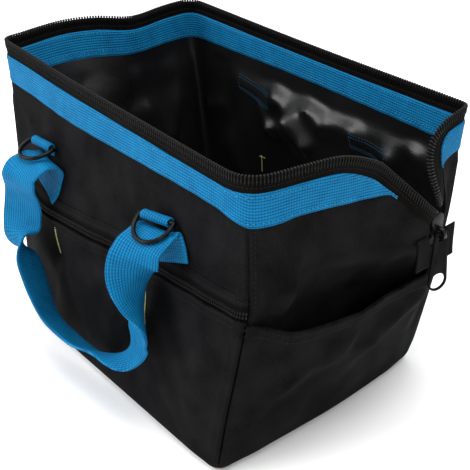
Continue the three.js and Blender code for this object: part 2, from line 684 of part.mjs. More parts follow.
/** Surface that the end pocket's inside follows, sagging away from the wall towards its hem. */
function endPocketSurface(t, z) {
  const sag = (at, height) => {
    const rise = THREE.MathUtils.clamp(height / hemHeight(at), 0, 1);
    const out = readTable(END_HEM_ROWS, "y", "out", at) * rise ** 0.8;
    return bodyPush("right")(at, height) + POCKET_FOOT_OUT + out + foldPush(END_POCKET_FOLDS, at, height);
  };
  return wallPoint("right", t, z, sag);
}

function endPocket() {
  const columns = wallShares(14).map((t) => {
    const hem = hemHeight(wallPoint("right", t, 110, () => 0).y);
    const heights = wallHeights(hem - HEM_TALL, 6, POCKET_FOOT_ROWS);
    const plain = heights.map((z) => layer(endPocketSurface, t, z, LAYER_GAP + POCKET_CLOTH, LAYER_GAP));
    const thick = LAYER_GAP + POCKET_CLOTH + HEM_EXTRA;
    const hemRows = [hem - HEM_TALL + 0.5, hem].map((z) => layer(endPocketSurface, t, z, thick, LAYER_GAP));
    return [...plain, ...hemRows];
  });
  return sheetSolid(columns);
}

addPiece("end_pocket", endPocket(), CANVAS);

// Handles

/** Smooth stations of a handle on one wall. */
function handleStations(wall, steps) {
  const isFront = wall === "front";
  const turned = (x) => (isFront ? x : BACK_HANDLE_SHIFT - x);
  const facing = isFront ? 1 : -1;
  const middles = HANDLE_ROWS.map((row) => {
    const x = turned(row.at);
    const { y } = wallPoint(wall, shareAt(wall, x, row.z), row.z, bodyPush(wall));
    return new THREE.Vector3(x, y - facing * row.off, row.z);
  });
  const sideOf = ({ wx, wy, wz }) => new THREE.Vector3(facing * wx, facing * wy, wz).normalize();
  const sides = HANDLE_ROWS.map(sideOf);
  const path = new THREE.CatmullRomCurve3(middles, false, "centripetal");
  const last = HANDLE_ROWS.length - 1;
  return Array.from({ length: steps + 1 }, (_, i) => {
    const u = i / steps;
    const row = Math.min(Math.floor(u * last), last - 1);
    const ahead = path.getTangent(u);
    const side = sides[row].clone().lerp(sides[row + 1], u * last - row);
    side.addScaledVector(ahead, -side.dot(ahead)).normalize();
    return { middle: path.getPoint(u), side, facing: side.clone().cross(ahead).negate() };
  });
}

/** Keeps a point of the strap's middle layer clear of the wall or pocket behind it. */
function offWall(wall) {
  const facing = wall === "front" ? 1 : -1;
  const overPocket = POCKET_LIFT + LAYER_GAP + POCKET_CLOTH;
  return (p) => {
    const t = shareAt(wall, p.x, p.z);
    const { y } = skin(wall, t, p.z);
    const onPocket = wall === "front" && p.z < pocketZipFoot(t) + POCKET_ZIP_TALL;
    const clear = STRAP_THICK / 2 + LAYER_GAP + (onPocket ? overPocket : 0);
    const off = Math.max(facing * (y - p.y), clear);
    return new THREE.Vector3(p.x, y - facing * off, p.z);
  };
}

for (const wall of ["front", "back"]) {
  const strap = strapSolid(handleStations(wall, 84), STRAP_WIDE, STRAP_THICK, offWall(wall));
  addPiece(`handle_${wall}`, strap, WEBBING_BLUE);
}

// Ring tabs and rings

const ROLL_RADIUS = RING_WIRE + RING_PLAY + TAB_THICK / 2;

/** Section of a tab about the middle of its roll: a tail on the wall, then the roll around the ring's bar. */
function tabSection(wallReach) {
  const tailAt = (rise) => new THREE.Vector2(GAP + TAB_THICK / 2 - wallReach(rise), rise);
  const section = [tailAt(-TAB_TAIL), tailAt(-TAB_TAIL * 0.6)];
  const turns = 12;
  const sweep = THREE.MathUtils.degToRad(292);
  for (let k = 0; k <= turns; k += 1) {
    const angle = Math.PI - (sweep * k) / turns;
    section.push(new THREE.Vector2(ROLL_RADIUS * Math.cos(angle), ROLL_RADIUS * Math.sin(angle)));
  }
  return section;
}

/** Frame of a ring fitting: middle of the roll and its directions. */
function ringFrame(row) {
  const facing = row.wall === "front" ? 1 : -1;
  const yaw = THREE.MathUtils.degToRad(row.yawDeg);
  const wallY = skin(row.wall, shareAt(row.wall, row.at, row.z), row.z).y;
  const reach = (TAB_WIDE / 2) * Math.sin(yaw);
  const off = GAP + TAB_THICK / 2 + ROLL_RADIUS + reach;
  return {
    facing,
    middle: new THREE.Vector3(row.at, wallY - facing * off, row.z),
    along: new THREE.Vector3(facing * Math.cos(yaw), facing * Math.sin(yaw), 0),
    out: new THREE.Vector3(facing * Math.sin(yaw), -facing * Math.cos(yaw), 0),
  };
}

function ringTab(row) {
  const { facing, middle, along } = ringFrame(row);
  const columns = [-1, 1].map((end) => {
    const centre = middle.clone().addScaledVector(along, (end * TAB_WIDE) / 2);
    const wallY = (z) => skin(row.wall, shareAt(row.wall, centre.x, z), z).y;
    const section = tabSection((rise) => facing * (wallY(row.z + rise) - centre.y));
    return section.map((p, i) => {
      const before = section[Math.max(i - 1, 0)];
      const after = section[Math.min(i + 1, section.length - 1)];
      const ahead = after.clone().sub(before).normalize();
      const place = (share) => {
        const q = p.clone().add(new THREE.Vector2(-ahead.y, ahead.x).multiplyScalar(share * TAB_THICK));
        return new THREE.Vector3(centre.x, centre.y - facing * q.x, row.z + q.y);
      };
      return { outer: place(-0.5), inner: place(0.5) };
    });
  });
  return sheetSolid(columns);
}

function ringLoop(row) {
  const { middle, along, out } = ringFrame(row);
  const swing = THREE.MathUtils.degToRad(row.swingDeg);
  const down = out.clone().multiplyScalar(Math.sin(swing)).add(new THREE.Vector3(0, 0, -Math.cos(swing)));
  const half = RING_INSIDE / 2 + RING_WIRE;
  const at = (x, depth) => middle.clone().addScaledVector(along, x).addScaledVector(down, depth);
  const bar = [-0.8, -0.4, 0, 0.4, 0.8].map((share) => at(share * half, 0));
  const bows = 14;
  const bow = Array.from({ length: bows + 1 }, (_, k) => {
    const angle = (Math.PI * k) / bows;
    return at(half * Math.cos(angle), RING_DEPTH * Math.sin(angle) ** 0.8);
  });
  return wireLoop([...bar, ...bow], down.clone().cross(along).normalize(), RING_WIRE, 8);
}

for (const row of RING_ROWS) {
  addPiece(`d_ring_tab_${row.name}`, ringTab(row), WEBBING_BLUE);
  addPiece(`d_ring_${row.name}`, ringLoop(row), BLACK_METAL);
}

// Zip tail: local +X points away from the bag, local Z runs up along the tail

const sliderX = skin("right", shareAt("right", SLIDER_AT.y, SLIDER_AT.z), SLIDER_AT.z).x;
const tail = new THREE.Group();
tail.position.set(sliderX - CLOTH / 2, SLIDER_AT.y, SLIDER_AT.z);
tail.rotation.x = THREE.MathUtils.degToRad(TAIL_LEAN_DEG);
bag.add(tail);

/** Extrudes a shape drawn in the local Y and Z of the tail along local X, centred. */
function tailPlate(shape, thick, middleX) {
  const geometry = new THREE.ExtrudeGeometry(shape, { depth: thick, bevelEnabled: false, curveSegments: 8 });
  const innerX = middleX - thick / 2;
  const turn = new THREE.Matrix4().set(0, 0, 1, innerX, 1, 0, 0, 0, 0, 1, 0, 0, 0, 0, 0, 1);
  return geometry.applyMatrix4(turn);
}

const polygon = (pairs) => new THREE.Shape(pairs.map(([y, z]) => new THREE.Vector2(y, z)));

/** Upright rectangle centred sideways between two heights. */
function oblong(wide, low, high) {
  const half = wide / 2;
  return polygon([[-half, low], [half, low], [half, high], [-half, high]]);
}

const bailFace = SLIDER_THICK / 2;
const hingeX = bailFace + BAIL.insideTall / 2;
const hingeZ = -5;

/** Slider body: wide at the top where the two halves enter, with a bail on its face. */
function sliderSolid() {
  const halfWide = SLIDER_WIDE / 2;
  const halfLong = SLIDER_LONG / 2;
  const neck = halfWide * 0.62;
  const body = tailPlate(polygon([
    [-neck, -halfLong], [neck, -halfLong], [neck, -halfLong * 0.3], [halfWide, halfLong * 0.45],
    [halfWide * 0.75, halfLong], [-halfWide * 0.75, halfLong],
    [-halfWide, halfLong * 0.45], [-neck, -halfLong * 0.3],
  ]), SLIDER_THICK, 0);
  const reach = BAIL.insideLong / 2 + BAIL.wire;
  const top = bailFace + BAIL.insideTall;
  const arch = polygon([
    [bailFace - 1, -reach], [top + BAIL.wire * 0.4, -reach], [top + BAIL.wire, -reach * 0.6],
    [top + BAIL.wire, reach * 0.6], [top + BAIL.wire * 0.4, reach], [bailFace - 1, reach],
    [bailFace - 1, BAIL.insideLong / 2], [top, BAIL.insideLong / 2], [top, -BAIL.insideLong / 2],
    [bailFace - 1, -BAIL.insideLong / 2],
  ]);
  const bail = new THREE.ExtrudeGeometry(arch, { depth: BAIL.wide, bevelEnabled: false });
  const upright = new THREE.Matrix4().set(1, 0, 0, 0, 0, 0, -1, BAIL.wide / 2, 0, 1, 0, hingeZ, 0, 0, 0, 1);
  bail.applyMatrix4(upright);
  return fromManifold(toManifold(body).add(toManifold(bail)));
}

/** Pull: a tapered plate with a slot over the bail and a round hole at its end, about its hinge. */
function pullSolid() {
  const { long, topWide, endRadius, hole, thick, slotWide, slotLong, bar } = PULL;
  const topZ = bar / 2;
  const endZ = topZ - long + endRadius;
  const shape = new THREE.Shape();
  shape.moveTo(-topWide / 2 + 1, topZ);
  shape.lineTo(-topWide / 2, topZ - 1);
  shape.lineTo(-endRadius, endZ);
  shape.absarc(0, endZ, endRadius, Math.PI, 2 * Math.PI, false);
  shape.lineTo(topWide / 2, topZ - 1);
  shape.lineTo(topWide / 2 - 1, topZ);
  shape.closePath();
  const round = new THREE.Path();
  round.absarc(0, endZ, hole, 0, 2 * Math.PI, true);
  const slotTop = topZ - bar;
  const slotFoot = slotTop - slotLong;
  const slotHalf = slotWide / 2;
  const slot = new THREE.Path([
    [-slotHalf, slotTop], [-slotHalf, slotFoot], [slotHalf, slotFoot], [slotHalf, slotTop],
  ].map(([y, z]) => new THREE.Vector2(y, z)));
  shape.holes.push(round, slot);
  return tailPlate(shape, thick, 0);
}

const tailTop = -SLIDER_LONG / 2 - GAP;
const tabTop = tailTop - ZIP_TAIL.tall - GAP;
addPiece("zip_slider", sliderSolid(), BLACK_METAL, tail);
tail.updateMatrix();
const hinge = new THREE.Group();
hinge.position.set(hingeX, 0, hingeZ).applyMatrix4(tail.matrix);
hinge.rotation.x = THREE.MathUtils.degToRad(PULL_LEAN_DEG);
bag.add(hinge);
addPiece("zip_pull", pullSolid(), BLACK_PAINT, hinge);
const wallFace = CLOTH / 2 + GAP;
const tailShape = oblong(ZIP_TAIL.wide, tailTop - ZIP_TAIL.tall, tailTop);
const tabShape = oblong(END_TAB.wide, tabTop - END_TAB.tall, tabTop);
const tailSolid = tailPlate(tailShape, ZIP_TAIL.thick, wallFace + ZIP_TAIL.thick / 2);
const tabSolid = tailPlate(tabShape, END_TAB.thick, wallFace + END_TAB.thick / 2);
addPiece("zip_tail", tailSolid, ZIP_TAPE, tail);
addPiece("zip_end_tab", tabSolid, WEBBING_BLACK, tail);

export default bag;
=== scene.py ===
"""Looks of a soft tool bag: cloth shell, webbing, zip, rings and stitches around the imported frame."""
import json
import logging
import math
from dataclasses import dataclass, field
from enum import Enum
from functools import reduce
from typing import Callable, NamedTuple

import bmesh
import bpy
import numpy as np
from mathutils import Matrix, Vector

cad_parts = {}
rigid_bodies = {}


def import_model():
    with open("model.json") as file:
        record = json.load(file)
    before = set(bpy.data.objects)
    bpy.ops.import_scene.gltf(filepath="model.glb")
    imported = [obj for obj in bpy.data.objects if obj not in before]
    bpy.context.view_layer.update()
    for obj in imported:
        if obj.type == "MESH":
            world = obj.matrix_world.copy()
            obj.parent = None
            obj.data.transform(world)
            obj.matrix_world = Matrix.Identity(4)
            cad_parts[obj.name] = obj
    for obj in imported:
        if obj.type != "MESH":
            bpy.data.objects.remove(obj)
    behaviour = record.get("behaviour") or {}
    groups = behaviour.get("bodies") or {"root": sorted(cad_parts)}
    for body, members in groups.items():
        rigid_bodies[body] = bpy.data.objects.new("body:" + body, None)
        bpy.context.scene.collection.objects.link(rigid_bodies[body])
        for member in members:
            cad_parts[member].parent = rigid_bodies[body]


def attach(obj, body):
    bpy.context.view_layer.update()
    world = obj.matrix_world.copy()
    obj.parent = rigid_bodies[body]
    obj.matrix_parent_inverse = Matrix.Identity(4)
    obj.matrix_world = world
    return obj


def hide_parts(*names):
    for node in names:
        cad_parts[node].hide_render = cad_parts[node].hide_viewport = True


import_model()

LOG = logging.getLogger("tool_bag")
MM = 0.001
Array = np.ndarray
Triple = tuple[float, float, float]
Pair = tuple[Array, Array]
Lines = list[Pair]
Object = bpy.types.Object
Socket = bpy.types.NodeSocket
Surface = Callable[[Array, Array], Array]
Push = Callable[[Array, Array], Array]


class Wall(Enum):
    """The walls of the bag, each with its first corner line."""

    FRONT = "a"
    RIGHT = "d"
    BACK = "c"
    LEFT = "b"

    @property
    def facing(self) -> float:
        """Minus one on the back, one elsewhere."""
        return -1.0 if self is Wall.BACK else 1.0

    @property
    def number(self) -> int:
        """Place in the row of walls round the bag."""
        return list(Wall).index(self)


class Half(Enum):
    """The halves of the mouth strip."""

    FRONT = "front"
    BACK = "back"


class Strip(Enum):
    """The strips of the mouth, by the place of their foot in a stretch."""

    BAND = 1
    ZIP = 2


class Swell(NamedTuple):
    """A soft bulge or dent of a wall, in millimetres."""

    at: float
    z: float
    out: float
    wide: float
    tall: float


class Fold(NamedTuple):
    """A fold along a line on a wall, in millimetres."""

    from_at: float
    from_z: float
    to_at: float
    to_z: float
    out: float
    half: float


class Zone(NamedTuple):
    """Heights between which cloth is uneven, with soft ends, in millimetres."""

    foot: float
    rise: float
    top: float
    fall: float

    def at(self, z: Array) -> Array:
        """One inside the zone, falling to zero at its ends."""
        return ease((z - self.foot) / self.rise) * ease((self.top - z) / self.fall)


CORNER_NAMES = "abcd"
CORNER_ORDER = tuple(wall.value for wall in Wall)

# Cloth, gaps, crests of folds and welts of the corner seams, in millimetres
CLOTH = 2.0
POCKET_CLOTH = 1.6
LAYER_GAP = 0.5
GAP = 0.3
CREST = 1.5
INSIDE_CREST = 5.0
WELT_FOOT = 6.0
WELT_RISE = 20.0
SEAM_STEP = 0.9
SEAM_REACH = 12.0
SIDE_INSET = 0.6
POCKET_FOOT = 4.0
SEWN_OFF = 0.1

# Points on a rounded corner of a plate
CORNER_POINTS = 5

# Angles in degrees above which an edge stays sharp
SHARP_CLOTH = 52
SHARP_PLATE = 50

# Range of the waves' phases and a full turn, in radians
PHASES = 6.28
TURN = 6.283


def table(*rows: list[float]) -> Array:
    """Dataclass field that holds a table of numbers."""
    return field(default_factory=lambda: np.array(rows, float))


def folds(*rows: tuple[float, ...]) -> list[Fold]:
    """Folds from rows of numbers."""
    return [Fold(*row) for row in rows]


def smooth_read(rows: Array, column: int, at: Array) -> Array:
    """Reads a column of a table smoothly, flat beyond its ends.

    Args:
        rows: The table, with increasing places in its first column.
        column: Which column.
        at: Where to read.

    Returns:
        The values at the places asked for.
    """
    places, values = rows[:, 0], rows[:, column]
    slopes = np.empty_like(values)
    slopes[1:-1] = (values[2:] - values[:-2]) / (places[2:] - places[:-2])
    slopes[0] = (values[1] - values[0]) / (places[1] - places[0])
    slopes[-1] = (values[-1] - values[-2]) / (places[-1] - places[-2])
    x = np.clip(at, places[0], places[-1])
    i = np.clip(np.searchsorted(places, x, side="right") - 1, 0, len(places) - 2)
    span = places[i + 1] - places[i]
    u = (x - places[i]) / span
    low = (1 + 2 * u) * (1 - u) ** 2 * values[i] + u * (1 - u) ** 2 * span * slopes[i]
    return low + u * u * (3 - 2 * u) * values[i + 1] + u * u * (u - 1) * span * slopes[i + 1]


def bell(distance: Array, half: float) -> Array:
    """A bell curve of height one that falls off over a half width."""
    return np.exp(-((distance / half) ** 2))


def ease(value: Array) -> Array:
    """Smooth step from zero to one."""
    x = np.clip(value, 0, 1)
    return x * x * (3 - 2 * x)


def directions(angle: Array) -> Array:
    """Directions in a plane at some angles."""
    return np.stack([np.cos(angle), np.sin(angle)], -1)


def unit(v: Array) -> Array:
    """Vectors of length one along the last axis."""
    return v / np.maximum(np.linalg.norm(v, axis=-1, keepdims=True), 1e-12)


def swell_push(swells: list[Swell], at: Array, z: Array) -> Array:
    """Adds up soft bulges.

    Args:
        swells: The bulges of one wall.
        at: Places along the wall.
        z: Heights.

    Returns:
        How far the wall is pushed out.
    """
    total = np.zeros(np.broadcast(at, z).shape)
    for s in swells:
        total = total + s.out * bell(at - s.at, s.wide) * bell(z - s.z, s.tall)
    return total


def fold_push(folds: list[Fold], at: Array, z: Array, crest: float = 0.0) -> Array:
    """Adds up folds along lines.

    Args:
        folds: The folds of one wall.
        at: Places along the wall.
        z: Heights.
        crest: Radius of the folds' crests, or 0 for round folds.

    Returns:
        How far the cloth is pushed out.
    """
    total = np.zeros(np.broadcast(at, z).shape)
    for f in folds:
        run_at, run_z = f.to_at - f.from_at, f.to_z - f.from_z
        share = ((at - f.from_at) * run_at + (z - f.from_z) * run_z) / (run_at**2 + run_z**2)
        share = np.clip(share, 0, 1)
        far = np.hypot(at - f.from_at - share * run_at, z - f.from_z - share * run_z)
        fall = np.exp((crest - np.hypot(far, crest)) / f.half) if crest else bell(far, f.half)
        total = total + f.out * fall
    return total


class Ripple(NamedTuple):
    """Uneven cloth from seeded waves: their usual length and height, in millimetres, and the seed."""

    size: float
    height: float
    seed: int
    waves: int = 9

    def push(self, at: Array, z: Array, more: int = 0) -> Array:
        """Adds up the waves.

        Args:
            at: Places along the wall.
            z: Heights.
            more: Added to the seed.

        Returns:
            How far the cloth is pushed out.
        """
        rng = np.random.RandomState(self.seed + more)
        total = np.zeros(np.broadcast(at, z).shape)
        for _ in range(self.waves):
            angle, length = rng.uniform(0, math.pi), self.size * rng.uniform(0.6, 1.7)
            phase = rng.uniform(0, PHASES)
            total = total + np.sin((at * math.cos(angle) + z * math.sin(angle)) * TURN / length + phase)
        return self.height * (total / math.sqrt(self.waves))


@dataclass
class BodyForm:
    """The shape of the bag's walls, in millimetres, with the origin at the middle of the base."""

    foot_round: float = 10.0
    edge_fade: float = 34.0
    probe_share: float = 0.002
    probe_up: float = 0.4
    corners: Array = table(
        # z, A x, A y, B x, B y, C x, C y, D x, D y
        [0, -127.5, -105, -127, 104.5, 119.5, 105, 131.5, -108.5],
        [50, -136, -101.5, -136.5, 104, 129.5, 105, 135, -102.5],
        [100, -144, -98.5, -146, 104, 137.5, 106, 143, -99.5],
        [145, -150, -96, -155, 104, 144, 106.5, 148, -96.5],
        [200, -158.5, -92.5, -165, 103, 149, 105, 142.5, -93.5],
        [240, -166.5, -91.5, -168, 102.5, 153.5, 104, 141.5, -91.5],
    )
    rounds: Array = table(
        # z, rounding of the corner lines A, B, C and D
        [0, 12, 12, 12, 9],
        [50, 12, 12, 11, 10],
        [100, 11, 12, 10, 11],
        [145, 11, 12, 10, 12],
        [200, 11, 14, 11, 20],
        [240, 12, 16, 12, 22],
    )
    body_swells: dict[Wall, list[Swell]] = field(default_factory=lambda: {
        Wall.FRONT: [Swell(-60, 115, 5, 75, 60)],
        Wall.RIGHT: [Swell(10, 0, 3, 62, 55)],
        Wall.BACK: [Swell(-5, 95, 5, 110, 70)],
        Wall.LEFT: [Swell(0, 90, 4, 70, 70), Swell(-32, 236, 5, 34, 60), Swell(26, 236, -11, 32, 70)],
    })
    wall_swells: dict[Wall, list[Swell]] = field(default_factory=lambda: {
        Wall.RIGHT: [Swell(48, 165, 24, 36, 38), Swell(-10, 215, 9, 52, 70), Swell(0, 128, -9, 62, 30)],
        Wall.BACK: [Swell(20, 150, -4, 45, 40)],
    })
    wall_folds: dict[Wall, list[Fold]] = field(default_factory=lambda: {
        Wall.RIGHT: folds((-72, 190, -62, 140, 4, 10), (-30, 158, 70, 136, 4, 11)),
        Wall.BACK: folds((30, 130, -20, 40, -3, 16)),
    })

    def corner(self, name: str, z: Array) -> Array:
        """A corner line at some heights, drawn in where the foot is rounded.

        Args:
            name: Letter of the corner line.
            z: Heights.

        Returns:
            Points in plan.
        """
        column = 1 + 2 * CORNER_NAMES.index(name)
        x = smooth_read(self.corners, column, z)
        y = smooth_read(self.corners, column + 1, z)
        short = np.clip(self.foot_round - z, 0, self.foot_round)
        inset = self.foot_round - np.sqrt(self.foot_round**2 - short**2)
        return np.stack([x - inset * np.sign(x), y - inset * np.sign(y)], -1)

    def rounding(self, name: str, z: Array) -> Array:
        """Rounding of a corner line at some heights."""
        return smooth_read(self.rounds, 1 + CORNER_NAMES.index(name), z)

    def letter(self, wall: Wall, step: int) -> str:
        """Letter of the corner line some steps on from a wall's first one."""
        return CORNER_ORDER[(wall.number + step) % 4]

    def axis(self, wall: Wall) -> int:
        """Index of the coordinate that a wall runs along."""
        return 0 if wall in (Wall.FRONT, Wall.BACK) else 1

    def point(self, wall: Wall, t: Array, z: Array, push: Push) -> Array:
        """Points on a wall.

        Args:
            wall: The wall.
            t: Shares of the way from one corner seam to the next.
            z: Heights.
            push: Outward push at a place and height.

        Returns:
            Points in space.
        """
        t, z = np.broadcast_arrays(np.asarray(t, float), np.asarray(z, float))
        before, start, end, after = (self.corner(self.letter(wall, k), z) for k in (3, 0, 1, 2))
        run = end - start
        length = np.linalg.norm(run, axis=-1)
        along = run / length[..., None]
        round_start, round_end = (self.rounding(self.letter(wall, k), z) for k in (0, 1))
        u = t * length
        w = length - u
        flat = start + along * u[..., None]

        def turn(corner: Array, neighbour: Array, inward: Array, far: Array, size: Array) -> Array:
            """Half of a rounded corner."""
            back, ahead = (((0.5 + side * far / size) ** 2 * size)[..., None] for side in (-0.5, 0.5))
            return corner + unit(neighbour - corner) * back + inward * ahead

        p = np.where((u < round_start)[..., None], turn(start, before, along, u, round_start), flat)
        p = np.where((w < round_end)[..., None], turn(end, after, -along, w, round_end), p)
        fade = ease(u / self.edge_fade) * ease(w / self.edge_fade)
        out = push(flat[..., self.axis(wall)], z) * fade
        return np.stack([p[..., 0] + along[..., 1] * out, p[..., 1] - along[..., 0] * out, z], -1)

    def share_at(self, wall: Wall, place: Array, z: Array) -> Array:
        """Share of the way along a wall at places in millimetres.

        Args:
            wall: The wall.
            place: Places along the wall.
            z: Heights.

        Returns:
            The shares.
        """
        a = self.axis(wall)
        start, end = (self.corner(self.letter(wall, k), z)[..., a] for k in (0, 1))
        return (place - start) / (end - start)

    def body_push(self, wall: Wall) -> Push:
        """Push of the swells that a wall shares with its pocket."""
        return lambda at, z: swell_push(self.body_swells[wall], at, z)

    def wall_push(self, wall: Wall) -> Push:
        """Push of all the swells and broad folds of a wall."""
        return lambda at, z: (
            swell_push(self.body_swells[wall] + self.wall_swells.get(wall, []), at, z)
            + fold_push(self.wall_folds.get(wall, []), at, z)
        )

    def skin(self, wall: Wall) -> Surface:
        """The outside of a wall as a surface."""
        return lambda t, z: self.point(wall, t, z, self.wall_push(wall))

    def with_normal(self, surface: Surface, t: Array, z: Array) -> Pair:
        """Points of a surface and their outward normals.

        Args:
            surface: The surface.
            t: Shares along it.
            z: Heights.

        Returns:
            The points and the normals.
        """
        step, rise = self.probe_share, self.probe_up
        across = surface(np.minimum(t + step, 1), z) - surface(np.maximum(t - step, 0), z)
        up = surface(t, z + rise) - surface(t, z - rise)
        return surface(t, z), unit(np.cross(across, up))

    def above(self, surface: Surface, t: Array, z: Array, off: float) -> Pair:
        """Points some way off a surface and the directions that they face."""
        p, n = self.with_normal(surface, t, z)
        return p + n * off, n


FORM = BodyForm()


def no_push(at: Array, z: Array) -> Array:
    """Push of a wall without swells."""
    return 0 * at


class TreeBench:
    """Adds nodes to a node tree."""

    tree: bpy.types.NodeTree

    def add(self, kind: str, **values: object) -> bpy.types.Node:
        """Adds a node and sets its inputs or properties by name.

        Args:
            kind: Node type.
            **values: Sockets and values for inputs, or property values.

        Returns:
            The node.
        """
        node = self.tree.nodes.new(kind)
        for key, value in values.items():
            spot = key.replace("_", " ")
            if spot in node.inputs:
                self.feed(node.inputs[spot], value)
            else:
                setattr(node, key, value)
        return node

    def feed(self, socket: Socket, value: object) -> None:
        """Links a socket to an input, or sets the input's value."""
        if isinstance(value, Socket):
            self.tree.links.new(value, socket)
        else:
            socket.default_value = value


class NodeBench(TreeBench):
    """Adds shader nodes to one material."""

    def __init__(self, name: str) -> None:
        """Starts a material with a principled shader.

        Args:
            name: Name of the material.
        """
        self.material = bpy.data.materials.new(name)
        self.material.use_nodes = True
        self.tree = self.material.node_tree
        self.shader = self.tree.nodes["Principled BSDF"]

    def math(self, operation: str, a: object, b: object = 0.0) -> Socket:
        """Adds a math node.

        Args:
            operation: Name of the operation.
            a: First socket or number.
            b: Second socket or number.

        Returns:
            The result socket.
        """
        node = self.tree.nodes.new("ShaderNodeMath")
        node.operation = operation
        for socket, value in zip(node.inputs, (a, b)):
            self.feed(socket, value)
        return node.outputs[0]

    def noise(self, scale: float, detail: float = 3.0, stretch: Triple = (1, 1, 1)) -> Socket:
        """Adds noise on object coordinates.

        Args:
            scale: Scale per metre.
            detail: Detail of the noise.
            stretch: Scale along each axis.

        Returns:
            The noise value.
        """
        coords = self.add("ShaderNodeTexCoord").outputs["Object"]
        mapped = self.add("ShaderNodeMapping", Vector=coords, Scale=stretch).outputs[0]
        return self.add("ShaderNodeTexNoise", Vector=mapped, Scale=scale, Detail=detail).outputs[0]

    def uv(self) -> list[Socket]:
        """Sockets of the piece's own map: metres along the cloth and metres across it."""
        cloth = self.add("ShaderNodeUVMap", uv_map="cloth").outputs[0]
        return self.add("ShaderNodeSeparateXYZ", Vector=cloth).outputs[:2]

    def wave(self, value: Socket, pitch: float) -> Socket:
        """A wave of zero to one, its length in metres."""
        sine = self.math("SINE", self.math("MULTIPLY", value, 2 * math.pi / pitch))
        return self.math("MULTIPLY_ADD", sine, 0.5)

    def weave(self, pitch: float) -> Socket:
        """Threads that cross each other at one pitch."""
        u, v = self.uv()
        return self.math("MULTIPLY", self.wave(u, pitch), self.wave(v, pitch))

    def total(self, *terms: tuple[Socket, float]) -> Socket:
        """Weighted sum of sockets."""
        parts = [self.math("MULTIPLY", socket, weight) for socket, weight in terms]
        return reduce(lambda a, b: self.math("ADD", a, b), parts)

    def ramp(self, value: Socket, low: Triple, high: Triple, start: float = 0.0, end: float = 1.0) -> Socket:
        """Mixes two colours by a value.

        Args:
            value: The driving value.
            low: Colour at the start.
            high: Colour at the end.
            start: Value of the first colour.
            end: Value of the second colour.

        Returns:
            The colour socket.
        """
        node = self.add("ShaderNodeValToRGB", Fac=value)
        node.color_ramp.elements[0].position, node.color_ramp.elements[0].color = start, (*low, 1)
        node.color_ramp.elements[1].position, node.color_ramp.elements[1].color = end, (*high, 1)
        return node.outputs[0]

    def span(self, value: Socket, low: float, high: float) -> Socket:
        """Maps zero to one onto a range."""
        return self.add("ShaderNodeMapRange", Value=value, To_Min=low, To_Max=high).outputs[0]

    def bump(self, height: Socket, distance: float, strength: float) -> None:
        """Adds a bump under any bump that is already there.

        Args:
            height: The height socket.
            distance: Height of the bump in metres.
            strength: Strength of the bump.
        """
        node = self.add("ShaderNodeBump", Height=height, Distance=distance, Strength=strength)
        normal = self.shader.inputs["Normal"]
        if normal.is_linked:
            self.tree.links.new(normal.links[0].from_socket, node.inputs["Normal"])
        self.tree.links.new(node.outputs[0], normal)

    def drive(self, **sockets: object) -> None:
        """Sets or links the shader's inputs by name."""
        for key, value in sockets.items():
            self.feed(self.shader.inputs[key.replace("_", " ")], value)


@dataclass(frozen=True)
class Finish:
    """A finish with its name and the record's material slot."""

    name: str
    slot: str

    def material(self) -> bpy.types.Material:
        """The material, made at first use.

        Returns:
            The material.
        """
        found = bpy.data.materials.get(self.name)
        if not found:
            bench = NodeBench(self.name)
            self.dress(bench)
            found = bench.material
        return found

    def dress(self, bench: NodeBench) -> None:
        """Adds the nodes of the finish."""
        raise NotImplementedError


@dataclass(frozen=True)
class WovenCloth(Finish):
    """Plain woven cloth with a fine weave and an uneven tone."""

    dark: Triple = (0.0012, 0.0012, 0.0015)
    light: Triple = (0.009, 0.009, 0.0097)
    pitch: float = 0.0011
    rough: float = 0.78
    gloss: float = 0.035

    def dress(self, bench: NodeBench) -> None:
        """Adds the weave and its uneven tone.

        Args:
            bench: Where the nodes go.
        """
        weave = bench.weave(self.pitch)
        tone = bench.total((bench.noise(38, 4), 0.75), (weave, 0.3), (bench.noise(700, 2), 0.35))
        bench.drive(Base_Color=bench.ramp(tone, self.dark, self.light, 0.42, 0.85))
        bench.drive(Roughness=bench.span(bench.noise(70), self.rough - 0.08, self.rough + 0.1))
        bench.drive(Specular_IOR_Level=self.gloss)
        bench.bump(bench.noise(240, 3), 0.0005, 0.5)
        bench.bump(weave, 0.00022, 0.8)


@dataclass(frozen=True)
class CoatedLining(Finish):
    """Back of the cloth with a crinkled glossy coating."""

    dark: Triple = (0.0035, 0.0035, 0.0038)
    light: Triple = (0.0075, 0.0075, 0.008)
    pitch: float = 0.0012

    def dress(self, bench: NodeBench) -> None:
        """Adds the crinkled coating over the weave.

        Args:
            bench: Where the nodes go.
        """
        weave = bench.weave(self.pitch)
        crinkle = bench.noise(17, 3, (1.0, 1.0, 0.7))
        bench.drive(Base_Color=bench.ramp(crinkle, self.dark, self.light, 0.3, 0.75))
        bench.drive(Roughness=bench.span(crinkle, 0.22, 0.38), Specular_IOR_Level=0.34)
        bench.bump(crinkle, 0.003, 0.4)
        bench.bump(bench.noise(170, 4), 0.0003, 0.4)
        bench.bump(weave, 0.0001, 0.6)


